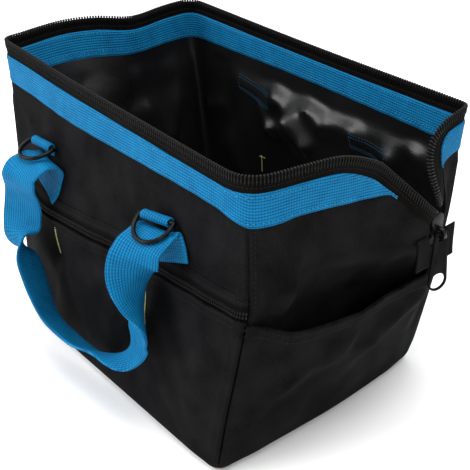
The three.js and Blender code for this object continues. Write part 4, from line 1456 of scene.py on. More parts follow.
    def base(self) -> None:
        """Builds the base as rings that close in to its middle."""
        outline, normals = [], []
        for wall in Wall:
            t = spaced(WALL_LENGTHS[wall], 2.0, 6.0)[:-1]
            surface: Surface = lambda a, b, w=wall: FORM.point(w, a, b, FORM.body_push(w))
            p, n = FORM.with_normal(surface, t, np.full_like(t, FORM.foot_round))
            outline.append(p[:, :2])
            normals.append(unit(n[:, :2]))
        edge = np.concatenate(outline) - np.concatenate(normals) * self.base_inset
        rings = np.array([1.0, 0.996, 0.985, 0.95, 0.8, 0.6, 0.4, 0.2, 0.04])
        droop = np.array([0.8, 0.3, 0.06, 0.0, 0.0, 0.0, 0.0, 0.0, 0.0])
        plan = edge[:, None] * rings[None, :, None]
        low = np.concatenate([plan, np.broadcast_to(droop[None, :, None], (*plan.shape[:2], 1))], -1)
        rough = np.abs(self.base_crumple.push(plan[..., 0], plan[..., 1])) * (rings < 0.9)
        high = np.concatenate([plan, (self.base_thick - droop[None] * 0.6 + rough)[..., None]], -1)
        base = cloth_layer("base_cloth", low, high, plan * MM, [CANVAS, LINING], closed=True)
        self.cap(base.data)
        self.keep(base, CANVAS, "base_panel")

    def cap(self, mesh: bpy.types.Mesh) -> None:
        """Closes the small hole in the middle of the base.

        Args:
            mesh: Mesh of the base.
        """
        work = bmesh.new()
        work.from_mesh(mesh)
        bmesh.ops.remove_doubles(work, verts=work.verts, dist=1e-6)
        middle = {v for v in work.verts if math.hypot(v.co.x, v.co.y) < self.cap_radius}
        inside = [f for f in work.faces if middle.issuperset(f.verts)]
        bmesh.ops.delete(work, geom=inside, context="FACES_ONLY")
        bmesh.ops.holes_fill(work, edges=[e for e in work.edges if e.is_boundary], sides=0)
        bmesh.ops.recalc_face_normals(work, faces=work.faces)
        work.to_mesh(mesh)
        work.free()

    def sewing(self) -> None:
        """Sews the corner seams and the strap boxes that show on the inside."""
        lines = []
        z = np.linspace(12, 194, 70)
        for wall in Wall:
            edge = self.seam_stitch / WALL_LENGTHS[wall]
            for t in (edge, 1 - edge):
                p, n = self.skin(wall, np.full_like(z, t), z)
                lines.append((p + n * 0.75, n))
        self.stitch("corner_stitches", lines, CORNER_SEAM)
        self.stitch("inside_box_stitches", self.box_lines(), BOX_SEAM)
        tuft = [self.inside_line(-68, 99, -68.5, 114), self.inside_line(-71, 113, -65, 113.5)]
        self.stitch("inside_thread_end", tuft, THREAD_END)

    def inside_line(self, from_at: float, from_z: float, to_at: float, to_z: float) -> Pair:
        """A straight line over the inside of the back wall.

        Args:
            from_at: Place where it starts.
            from_z: Height where it starts.
            to_at: Place where it ends.
            to_z: Height where it ends.

        Returns:
            The points and the directions into the bag.
        """
        share = np.linspace(0, 1, 24)
        at, z = from_at + (to_at - from_at) * share, from_z + (to_z - from_z) * share
        p, n = self.lining(Wall.BACK, FORM.share_at(Wall.BACK, at, z), z)
        return p + n * 0.15, n

    def box_lines(self) -> Lines:
        """Lines of the sewn boxes that hold the straps and tabs, seen from the inside.

        Returns:
            The lines.
        """
        lines = []
        for left, left_z, right, right_z, tall in self.boxes:
            for drop in (0.0, 2.2, tall - 2.0, tall):
                lines.append(self.inside_line(left, left_z - drop, right, right_z - drop))
            lines.append(self.inside_line(left, left_z, left, left_z - tall))
            lines.append(self.inside_line(right, right_z, right, right_z - tall))
        return lines


@dataclass
class Pocket(BagPiece):
    """A cloth pocket over one wall."""

    stitches: RunTree

    def surface(self, t: Array, z: Array) -> Array:
        """Surface that the inside of the pocket follows."""
        raise NotImplementedError

    def hem_swell(self, below: Array) -> Array:
        """Extra thickness of the hem by the distance below its edge."""
        raise NotImplementedError

    def shares(self, length: float, step: float) -> Array:
        """Shares along a wall, a little short of its corner seams."""
        return np.clip(spaced(length, step=step), SIDE_INSET / length, 1 - SIDE_INSET / length)

    def panel(self, length: float, t: Array, top: Array, share: Array) -> Pair:
        """The two layers of the pocket's cloth.

        Args:
            length: Length of the wall.
            t: Shares along the wall.
            top: Height of the top edge at those shares.
            share: Shares of the way up.

        Returns:
            The outer and inner grids.
        """
        z = POCKET_FOOT + (top - POCKET_FOOT)[:, None] * share[None]
        p, n = FORM.with_normal(self.surface, t[:, None], z)
        ridge = welt((np.minimum(t, 1 - t) * length)[:, None], z)
        thick = LAYER_GAP + POCKET_CLOTH + ridge + self.hem_swell(top[:, None] - z)
        return p + n * thick[..., None], p + n * (LAYER_GAP + ridge)[..., None]

    def hem_lines(self, t: Array, top: Array, drops: tuple[float, ...], off: float) -> Lines:
        """Lines of stitches at some distances below the top edge."""
        off = LAYER_GAP + POCKET_CLOTH + off
        return [FORM.above(self.surface, t, top - drop, off) for drop in drops]


@dataclass
class FrontPocket(Pocket):
    """The flat pocket on the front with its closed zip."""

    shell: Shell
    crumple: Ripple = Ripple(40, 0.4, 71)
    zip_tall: float = 12.0
    overlap: float = 1.0
    hem_tall: float = 7.6
    hem_out: float = 0.4
    hem_soft: float = 2.0
    lift: float = 3.2
    slider_at: float = -118.0
    zip_rows: Array = table(
        # share of the wall, foot of the zip
        [0, 116], [0.2, 114], [0.45, 120], [0.75, 126.5], [1, 132],
    )
    folds: list[Fold] = field(default_factory=lambda: folds(
        (-70, 92, -52, 34, -2, 12), (112, 105, 104, 20, 2.5, 13), (-76, 86, -84, 30, -1.6, 6),
        (42, 80, 30, 24, -1.2, 7), (60, 60, 96, 18, 1.3, 9), (-110, 60, -60, 16, 1.2, 9),
        (-20, 96, 10, 50, 1.0, 10),
    ))
    tacks: tuple[Triple, ...] = ((-76.0, 110.0, 87.0), (42.5, 108.0, 82.0))

    def hem_swell(self, below: Array) -> Array:
        """Extra thickness of the hem by the distance below its edge."""
        return self.hem_out * ease((self.hem_tall - below) / self.hem_soft)

    def zip_foot(self, t: Array) -> Array:
        """Height of the zip's foot along the front."""
        return smooth_read(self.zip_rows, 1, t)

    def surface(self, t: Array, z: Array) -> Array:
        """Surface that the inside of the pocket follows."""
        base = self.shell.push(Wall.FRONT)
        return FORM.point(Wall.FRONT, t, z, lambda at, h: (
            base(at, h) + self.lift * bell(h - 60, 60)
            + ease((h - 6) / 24) * (fold_push(self.folds, at, h) + self.crumple.push(at, h))
        ))

    def wall(self, t: Array, z: Array) -> Array:
        """Outside of the wall behind the pocket."""
        return FORM.point(Wall.FRONT, t, z, self.shell.push(Wall.FRONT))

    def build(self) -> None:
        """Builds the pocket's cloth, its zip and its stitches."""
        length = WALL_LENGTHS[Wall.FRONT]
        t = self.shares(length, 2.6)
        top = self.zip_foot(t) + self.overlap
        outer, inner = self.panel(length, t, top, two_steps(0.9, 44, 14))
        self.layer("front_pocket_cloth", outer, inner, [CANVAS], "front_pocket")
        self.zip(t)
        self.slider()
        self.sewing(t, top)

    def zip(self, t: Array) -> None:
        """Builds the closed zip over the pocket.

        Args:
            t: Shares along the front.
        """
        shares = np.array([0, 0.05, 0.18, 0.27, 0.31, 0.38, 0.5, 0.62, 0.69, 0.73, 0.82, 0.95, 1.0])
        rise = np.array([0.7, 1.1, 1.1, 1.2, 1.7, 2.1, 2.2, 2.1, 1.7, 1.2, 1.1, 1.1, 0.7])
        z = self.zip_foot(t)[:, None] + self.zip_tall * shares[None]
        p, n = FORM.with_normal(self.wall, t[:, None], z)
        self.layer("pocket_zip_tape", p + n * rise[None, :, None], p + n * GAP, [TAPE], "pocket_zip")
        middle = self.zip_foot(t) + self.zip_tall / 2
        rows = [FORM.above(self.wall, t, middle + side, 2.35) for side in (-1.5, 1.5)]
        self.stitch("pocket_zip_turns", rows, POCKET_TURNS)
        climb = np.array([0.0, 0.3, 1.0, 3.5, 6.5, 7.4])
        thick = np.array([0.9, 1.4, 1.4, 1.2, 0.8, 0.4])
        z = (self.zip_foot(t) + self.zip_tall - 0.6)[:, None] + climb[None]
        p, n = FORM.with_normal(self.wall, t[:, None], z)
        self.layer("pocket_zip_flap", p + n * thick[None, :, None], p + n * 0.2, [CANVAS], uv=map_of(p))

    def slider(self) -> None:
        """Builds the small slider of the pocket's zip: a body and its lug."""
        t = FORM.share_at(Wall.FRONT, np.array(self.slider_at), np.array(120.0))
        z = self.zip_foot(t) + self.zip_tall / 2
        p, n = FORM.with_normal(self.wall, t, z)
        ahead = unit(self.wall(t + 0.01, z) - self.wall(t - 0.01, z))
        up = np.cross(n, ahead)
        parts = []
        for name, box, thick, bevel, off in (
            ("pocket_slider_body", (12.2, 8.2, 2.4), 3.4, 0.6, 4.6),
            ("pocket_slider_lug", (5.0, 2.6, 1.0), 1.6, 0.4, 6.6),
        ):
            place = plate_place(p + n * off, ahead, up, n)
            parts.append(plate(name, [rounded_box(*box)], thick, bevel, place, GUNMETAL))
        self.keep(joined("pocket_slider", parts), GUNMETAL, "pocket_zip_slider")

    def sewing(self, t: Array, top: Array) -> None:
        """Sews the hem of the pocket, the edge over the zip and the bar tacks.

        Args:
            t: Shares along the front.
            top: Height of the pocket's top edge at those shares.
        """
        lines = self.hem_lines(t, top, (1.4, 6.2), 0.5)
        lines.append(FORM.above(self.wall, t, self.zip_foot(t) + self.zip_tall + 2.4, 1.35))
        self.stitch("pocket_stitches", lines, HEM_SEAM)
        tacks = []
        for at, high, low in self.tacks:
            z = np.linspace(high, low, 30)
            lean = at + 1.6 * (high - z) / (high - low)
            t = FORM.share_at(Wall.FRONT, lean, z)
            tacks.append(FORM.above(self.surface, t, z, LAYER_GAP + POCKET_CLOTH + 0.2))
        self.stitch("pocket_bar_tacks", tacks, BAR_TACK)


@dataclass
class EndPocket(Pocket):
    """The slack pocket on the right end, gaping at its hem."""

    crumple: Ripple = Ripple(36, 0.5, 83)
    foot_out: float = 1.5
    hem_tall: float = 9.0
    hem_out: float = 1.2
    hem_edge: float = 1.4
    hem_rows: Array = table(
        # place along the end, height of the hem, how far it stands off
        [-93, 130, 0], [-68, 121, 13], [-12, 114, 17], [22, 113, 15], [69, 108, 9], [102, 99, 0],
    )
    folds: list[Fold] = field(default_factory=lambda: folds(
        (-34, 80, -76, 40, -4, 11), (-20, 88, -58, 62, 4, 10), (0, 70, 70, 95, 4.5, 13),
    ))
    creases: list[Fold] = field(default_factory=lambda: folds(
        (66, 93, 13, 77, 3.2, 8), (13, 77, -33, 76, 2.6, 8), (-42, 79, -64, 70, 2.6, 7),
        (-64, 70, -80, 42, 2.8, 7), (-64, 109, -76, 95, 2.0, 5), (-9, 112, -11, 94, 2.4, 6),
        (-11, 94, -19, 84, 2.4, 6), (-80, 42, -90, 12, 1.4, 6), (-20, 60, 20, 30, 1.2, 9),
        (40, 50, 80, 24, -1.4, 9), (84, 92, 70, 60, 1.6, 6),
    ))

    def hem_swell(self, below: Array) -> Array:
        """Extra thickness of the hem by the distance below its edge."""
        edge = 0.55 + 0.45 * ease(below / self.hem_edge)
        return self.hem_out * ease((self.hem_tall - below) / self.hem_out) * edge

    def hem(self, at: Array) -> Array:
        """Height of the hem along the end."""
        return smooth_read(self.hem_rows, 1, at)

    def sag(self, at: Array, z: Array) -> Array:
        """Stands off more and more towards the hem, with folds and creases.

        Args:
            at: Places along the end.
            z: Heights.

        Returns:
            How far the cloth is pushed out.
        """
        out = smooth_read(self.hem_rows, 2, at) * np.clip(z / self.hem(at), 0, 1) ** 0.8
        small = fold_push(self.creases, at, z, CREST) + self.crumple.push(at, z)
        broad = FORM.body_push(Wall.RIGHT)(at, z) + self.foot_out + out + fold_push(self.folds, at, z)
        return broad + ease((z - 6) / 22) * small

    def surface(self, t: Array, z: Array) -> Array:
        """Surface that the inside of the pocket follows."""
        return FORM.point(Wall.RIGHT, t, z, self.sag)

    def build(self) -> None:
        """Builds the pocket's cloth with its hem and stitches."""
        length = WALL_LENGTHS[Wall.RIGHT]
        t = self.shares(length, 2.4)
        top = self.hem(FORM.point(Wall.RIGHT, t, np.full_like(t, 110.0), no_push)[:, 1])
        outer, inner = self.panel(length, t, top, two_steps(0.88, 46, 16))
        self.layer("end_pocket_cloth", outer, inner, [CANVAS], "end_pocket")
        lines = self.hem_lines(t, top, (1.8, 7.2), 1.3)
        self.stitch("end_pocket_stitches", lines, HEM_SEAM)


@dataclass
class Handle(BagPiece):
    """A webbing handle hanging down on one of the long walls."""

    wall: Wall
    pocket: FrontPocket
    stitches: RunTree
    wide: float = 36.0
    thick: float = 2.1
    shift: float = -14.0
    stations: int = 260
    blur: int = 25
    box_near: float = 2.5
    box_far: float = 17.0
    wall_clear: float = 0.4
    wall_soft: float = 0.6
    pocket_clear: float = 6.0
    pocket_soft: float = 4.0
    pocket_fade: float = 24.0
    rows: Array = table(
        # place along the wall, distance off it, height, direction to the inside edge of the loop
        (-95, 1.4, 138, 0.87, 0, -0.48), (-88.5, 1.4, 150, 0.89, 0, -0.44),
        (-84.5, 2.4, 161.8, 0.96, 0, -0.25), (-84, 7, 165.3, 1, 0.05, -0.05),
        (-85, 14, 166.4, 0.99, 0.1, 0), (-87, 21, 163.8, 0.98, 0.15, 0),
        (-89, 26.5, 158.8, 0.97, 0.2, -0.03), (-90.2, 28, 151.5, 0.97, 0.2, -0.1),
        (-94.5, 22, 136.5, 0.95, 0.25, -0.2), (-98.3, 19.3, 121, 0.86, 0.48, -0.14),
        (-98, 20.6, 110.4, 0.87, 0.48, -0.05), (-94.7, 25, 101.7, 0.9, 0.3, 0.25),
        (-87, 25, 92.8, 0.4, -0.8, 0.44), (-79, 25.5, 81.8, 0.35, -0.84, 0.42),
        (-64, 27, 62.1, 0.4, -0.76, 0.5), (-54, 28, 52.9, 0.42, -0.71, 0.56),
        (-42.7, 27.2, 47, 0.37, -0.73, 0.57), (-18, 24, 41.6, 0.14, -0.81, 0.57),
        (-2, 23.2, 42.3, 0, -0.8, 0.6), (17, 22, 48.8, -0.02, -0.82, 0.57),
        (34.5, 20.3, 57, 0.3, -0.85, 0.42), (46, 18.8, 66, 0.8, -0.55, -0.2),
        (52.2, 17.6, 77, 0.98, -0.16, -0.1), (55.8, 17.2, 86.5, 0.97, -0.22, -0.08),
        (59.8, 17.2, 95, 0.87, -0.48, -0.04), (60.3, 18.6, 103.5, 0.77, -0.63, -0.03),
        (58.8, 21, 111.8, 0.55, -0.83, -0.05), (57.4, 23.5, 120.2, 0.3, -0.95, -0.06),
        (56.6, 25.3, 129, 0, -1, -0.05), (57.2, 26.8, 137, -0.34, -0.94, -0.02),
        (59.3, 27.8, 144.5, -0.62, -0.78, 0.02), (62, 28, 152, -0.86, -0.5, 0),
        (62.5, 25, 159.5, -0.93, -0.36, 0), (62, 17, 164.3, -0.95, -0.3, 0),
        (61.5, 9, 166.5, -0.955, -0.24, 0), (62, 3.4, 164, -0.96, -0.15, -0.05),
        (65, 1.4, 157.5, -0.97, 0, -0.2), (70, 1.4, 144, -1, 0, -0.05),
    )

    def line(self) -> Pair:
        """Middles and side directions along the strap.

        Returns:
            The middles and the sides.
        """
        x = self.rows[:, 0] if self.wall is Wall.FRONT else self.shift - self.rows[:, 0]
        z = self.rows[:, 2]
        y = FORM.point(self.wall, FORM.share_at(self.wall, x, z), z, FORM.body_push(self.wall))[:, 1]
        middles = np.stack([x, y - self.wall.facing * self.rows[:, 1], z], -1)
        sides = unit(self.rows[:, 3:] * (self.wall.facing, self.wall.facing, 1.0))
        u = np.linspace(0, len(self.rows) - 1, self.stations)
        points = chain(middles, u)
        row = np.arange(len(self.rows))
        side = np.stack([np.interp(u, row, sides[:, k]) for k in range(3)], -1)
        kernel = np.hanning(self.blur) / np.hanning(self.blur).sum()
        padded = np.pad(side, ((self.blur // 2, self.blur // 2), (0, 0)), mode="edge")
        side = np.stack([np.convolve(padded[:, k], kernel, mode="valid") for k in range(3)], -1)
        ahead = unit(np.gradient(points, axis=0))
        side = unit(side - ahead * np.sum(side * ahead, -1, keepdims=True))
        return points, side

    def clear(self, points: Array) -> Array:
        """Keeps the middle layer clear of the wall or pocket behind it.

        Args:
            points: Points of the middle layer.

        Returns:
            The points moved off the wall where they were too near.
        """
        x, z = points[..., 0], points[..., 2]
        t = FORM.share_at(self.wall, x, z)
        y = FORM.point(self.wall, t, z, self.pocket.shell.push(self.wall))[..., 1]
        near = np.full(x.shape, self.thick / 2 + self.wall_clear)
        soft = np.full(x.shape, self.wall_soft)
        if self.wall is Wall.FRONT:
            top = self.pocket.zip_foot(t) + self.pocket.zip_tall
            over = ease((top + self.pocket_fade / 2 - z) / self.pocket_fade)
            near, soft = near + self.pocket_clear * over, soft + self.pocket_soft * over
        spare = self.wall.facing * (y - points[..., 1]) - near
        off = near + 0.5 * (spare + np.sqrt(spare**2 + soft**2))
        return np.stack([x, y - self.wall.facing * off, z], -1)

    def build(self) -> None:
        """Builds the strap and the boxes that sew it down."""
        middles, side = self.line()
        across = np.array([-1, -0.985, -0.95, -0.72, -0.48, -0.24, 0, 0.24, 0.48, 0.72, 0.95, 0.985, 1])
        body = np.array([0.3, 0.75, 1, 1, 1, 1, 1, 1, 1, 1, 1, 0.75, 0.3])
        grid = self.clear(middles[:, None] + side[:, None] * (across * self.wide / 2)[None, :, None])
        normal = unit(np.cross(np.gradient(grid, axis=0), np.gradient(grid, axis=1)))
        half = (body * self.thick / 2)[None, :, None]
        outer, inner = grid + normal * half, grid - normal * half
        name = "front" if self.wall is Wall.FRONT else "back"
        self.layer(f"strap_{name}", outer, inner, [BLUE_WEBBING], f"handle_{name}", uv=map_of(grid))
        self.sew(name, grid, normal)

    def sew(self, name: str, grid: Array, normal: Array) -> None:
        """Sews both ends of the strap with a box.

        Args:
            name: Which handle.
            grid: Middle layer of the strap.
            normal: Its normals.
        """
        lines = []
        middle, last = grid.shape[1] // 2, grid.shape[1] - 3.0
        along, wide = np.linspace(self.box_near, self.box_far, 8), np.linspace(2, last, 9)
        for way in (1, -1):
            cut, turn = grid[::way], normal[::way]
            far = lengths(cut[:, middle])
            outward = np.sign(np.sum(turn[4, middle] * (0, -self.wall.facing, 0)))
            for at, across in ((along, 2.0), (along, last), (self.box_near, wide), (self.box_far, wide)):
                at, across = np.broadcast_arrays(at, across)
                facing = unit(self.blend(turn, far, at, across)) * outward
                points = self.blend(cut, far, at, across) + facing * (self.thick / 2 + SEWN_OFF)
                lines.append((points, facing))
        self.stitch(f"strap_stitches_{name}", lines, STRAP_SEAM)

    @staticmethod
    def blend(layer: Array, far: Array, at: Array, across: Array) -> Array:
        """Reads a layer of the strap between its stations.

        Args:
            layer: Points or normals.
            far: Length from the end to each station.
            at: Lengths from the end.
            across: Columns across the strap, as numbers with fractions.

        Returns:
            The layer at those places.
        """
        k = np.minimum(across.astype(int), layer.shape[1] - 2)
        i = np.minimum(np.searchsorted(far, at, side="right") - 1, len(far) - 2)
        f, g = (across - k)[:, None], ((at - far[i]) / (far[i + 1] - far[i]))[:, None]
        here, there = ((1 - f) * layer[j, k] + f * layer[j, k + 1] for j in (i, i + 1))
        return (1 - g) * here + g * there


@dataclass
class RingFitting(BagPiece):
    """A folded webbing tab and the ring that swings in it."""

    name: str
    wall: Wall
    middle: Triple
    along: Triple
    swing: float
    tab_wide: float = 23.0
    tab_thick: float = 1.6
    tab_tail: float = 7.0
    wire: float = 1.6
    sides: int = 14
    play: float = 0.4
    inside: float = 26.0
    depth: float = 20.0
    roll: float = 292.0

    def build(self) -> None:
        """Builds the tab and the ring."""
        self.tab()
        self.ring()

    def tab(self) -> None:
        """Builds the webbing tab: a tail on the wall, then the roll around the ring's bar."""
        facing = self.wall.facing
        middle, along = np.array(self.middle), np.array(self.along)
        radius = self.wire + self.play + self.tab_thick / 2
        angle = math.pi - math.radians(self.roll) * np.linspace(0, 1, 30)
        roll = radius * directions(angle)
        across = np.array([-1, -0.98, -0.93, -0.5, 0, 0.5, 0.93, 0.98, 1]) * self.tab_wide / 2
        body = np.array([0.35, 0.8, 1, 1, 1, 1, 1, 0.8, 0.35]) * self.tab_thick / 2
        outer, inner, uv = [], [], []
        for far, half in zip(across, body):
            centre = middle + along * far
            rise = np.array([-1.0, -0.8, -0.6]) * self.tab_tail
            z = middle[2] + rise
            x = np.full(3, centre[0])
            wall_y = FORM.skin(self.wall)(FORM.share_at(self.wall, x, z), z)[:, 1]
            reach = facing * (wall_y - centre[1])
            tail = np.stack([GAP + self.tab_thick / 2 - reach, rise], -1)
            path = np.vstack([tail, roll])
            ahead = unit(np.gradient(path, axis=0))
            turn = np.stack([-ahead[:, 1], ahead[:, 0]], -1)
            for side, grid in ((-1, outer), (1, inner)):
                q = path + turn * side * half
                level = np.full(len(q), centre[0])
                grid.append(np.stack([level, centre[1] - facing * q[:, 0], middle[2] + q[:, 1]], -1))
            uv.append(np.stack([lengths(path), np.full(len(path), far)], -1) * MM)
        name, node = f"ring_loop_{self.name}", f"d_ring_tab_{self.name}"
        self.layer(name, np.array(outer), np.array(inner), [BLUE_WEBBING], node, uv=np.array(uv))

    def ring(self) -> None:
        """Builds the ring: a straight bar and a bow."""
        middle, along = np.array(self.middle), np.array(self.along)
        out = np.array([along[1], -along[0], 0.0])
        lean = math.radians(self.swing)
        down = out * math.sin(lean) - np.array([0, 0, math.cos(lean)])
        half = self.inside / 2 + self.wire
        bar = np.stack([np.linspace(-0.9, 0.9, 13) * half, np.zeros(13)], -1)
        angle = np.linspace(0, math.pi, 49)
        bow = np.stack([half * np.cos(angle), self.depth * np.sin(angle) ** 0.8], -1)
        path = np.vstack([bar, bow])
        points = middle + path[:, :1] * along + path[:, 1:] * down
        normal = unit(np.cross(down, along))
        self.keep(self.sweep(points, normal), GUNMETAL, f"d_ring_{self.name}", body=f"ring_{self.name}")

    def sweep(self, points: Array, normal: Array) -> Object:
        """Sweeps the round wire along a closed path.

        Args:
            points: The path.
            normal: Normal of its plane.

        Returns:
            The object.
        """
        side = np.cross(unit(np.roll(points, -1, 0) - np.roll(points, 1, 0)), normal)
        round_by = directions(np.arange(self.sides) * 2 * math.pi / self.sides)
        ring = points[:, None] + self.wire * (
            side[:, None] * round_by[None, :, :1] + normal[None, None] * round_by[None, :, 1:]
        )
        number = np.arange(len(points) * self.sides).reshape(len(points), self.sides)
        ahead = np.roll(number, -1, 0)
        quads = np.stack([number, ahead, np.roll(ahead, -1, 1), np.roll(number, -1, 1)], -1).reshape(-1, 4)
        flat = ring.reshape(-1, 3)
        if signed_volume(flat, quads) < 0:
            quads = quads[:, ::-1]
        return smooth_piece(f"ring_wire_{self.name}", flat, quads.tolist(), flat[:, :2] * MM, [GUNMETAL])


def plate_place(middle: Array, across: Array, up: Array, out: Array) -> Matrix:
    """Matrix that stands a plate at a place, its thickness along the last direction."""
    turn = Matrix([list(map(float, row)) for row in np.stack([across, up, out], -1)])
    return Matrix.Translation(Vector([float(v) for v in middle])) @ turn.to_4x4()


def plate(
    name: str, outlines: list[Array], thick: float, bevel: float, place: Matrix, finish: Finish
) -> Object:
    """Cuts a plate from an outline with holes.

    Args:
        name: Name of the piece.
        outlines: The outer outline, then the holes, inside their bevels.
        thick: Thickness.
        bevel: Rounding of the edges, added outside the outline.
        place: Where the plate stands, in millimetres.
        finish: Its finish.

    Returns:
        The object.
    """
    curve = bpy.data.curves.new(name, "CURVE")
    curve.dimensions, curve.fill_mode = "2D", "BOTH"
    curve.extrude, curve.bevel_depth, curve.bevel_resolution = thick / 2 - bevel, bevel, 2
    for outline in outlines:
        spline = curve.splines.new("POLY")
        spline.points.add(len(outline) - 1)
        for point, (x, y) in zip(spline.points, outline):
            point.co = (float(x), float(y), 0, 1)
        spline.use_cyclic_u = True
    holder = linked(name, curve)
    mesh = plain_mesh(holder)
    bpy.data.objects.remove(holder)
    bpy.data.curves.remove(curve)
    work = bmesh.new()
    work.from_mesh(mesh)
    bmesh.ops.remove_doubles(work, verts=work.verts, dist=1e-4)
    bmesh.ops.transform(work, matrix=Matrix.Scale(MM, 4) @ place, verts=work.verts)
    bmesh.ops.recalc_face_normals(work, faces=work.faces)
    work.to_mesh(mesh)
    work.free()
    mesh.name = name
    mesh.materials.clear()
    mesh.materials.append(finish.material())
    shade(mesh, SHARP_PLATE)
    return linked(name, mesh)


def joined(name: str, parts: list[Object]) -> Object:
    """Joins plates of one finish into one piece.

    Args:
        name: Name of the piece.
        parts: The plates.

    Returns:
        The joined object.
    """
    work = bmesh.new()
    for part in parts:
        work.from_mesh(part.data)
    mesh = parts[0].data.copy()
    work.to_mesh(mesh)
    work.free()
    mesh.name = name
    for part in parts:
        bpy.data.objects.remove(part)
    return linked(name, mesh)


def rounded_box(wide: float, tall: float, corner: float) -> Array:
    """Outline of a box with rounded corners.

    Args:
        wide: Width.
        tall: Height.
        corner: Rounding.

    Returns:
        The outline.
    """
    found = []
    for k, (sx, sy) in enumerate(((1, 1), (-1, 1), (-1, -1), (1, -1))):
        angle = np.linspace(0, math.pi / 2, CORNER_POINTS) + k * math.pi / 2
        middle = np.array([sx * (wide / 2 - corner), sy * (tall / 2 - corner)])
        found.append(middle + corner * directions(angle))
    return np.concatenate(found)


def chain(points: Array, at: Array) -> Array:
    """Smooth centripetal curve through points.

    Args:
        points: The points.
        at: Places as numbers of points with fractions.

    Returns:
        Points on the curve.
    """
    full = np.vstack([2 * points[0] - points[1], points, 2 * points[-1] - points[-2]])
    i = np.clip(at.astype(int), 0, len(points) - 2)
    p0, p1, p2, p3 = (full[i + k] for k in range(4))
    steps = (p1 - p0, p2 - p1, p3 - p2)
    d0, d1, d2 = (np.maximum(np.linalg.norm(s, axis=-1, keepdims=True), 1e-6) ** 0.5 for s in steps)
    start = ((p1 - p0) / d0 - (p2 - p0) / (d0 + d1) + (p2 - p1) / d1) * d1
    end = ((p2 - p1) / d1 - (p3 - p1) / (d1 + d2) + (p3 - p2) / d2) * d1
    u = (at - i)[:, None]
    return p1 + start * u + (3 * (p2 - p1) - 2 * start - end) * u**2 + (2 * (p1 - p2) + start + end) * u**3


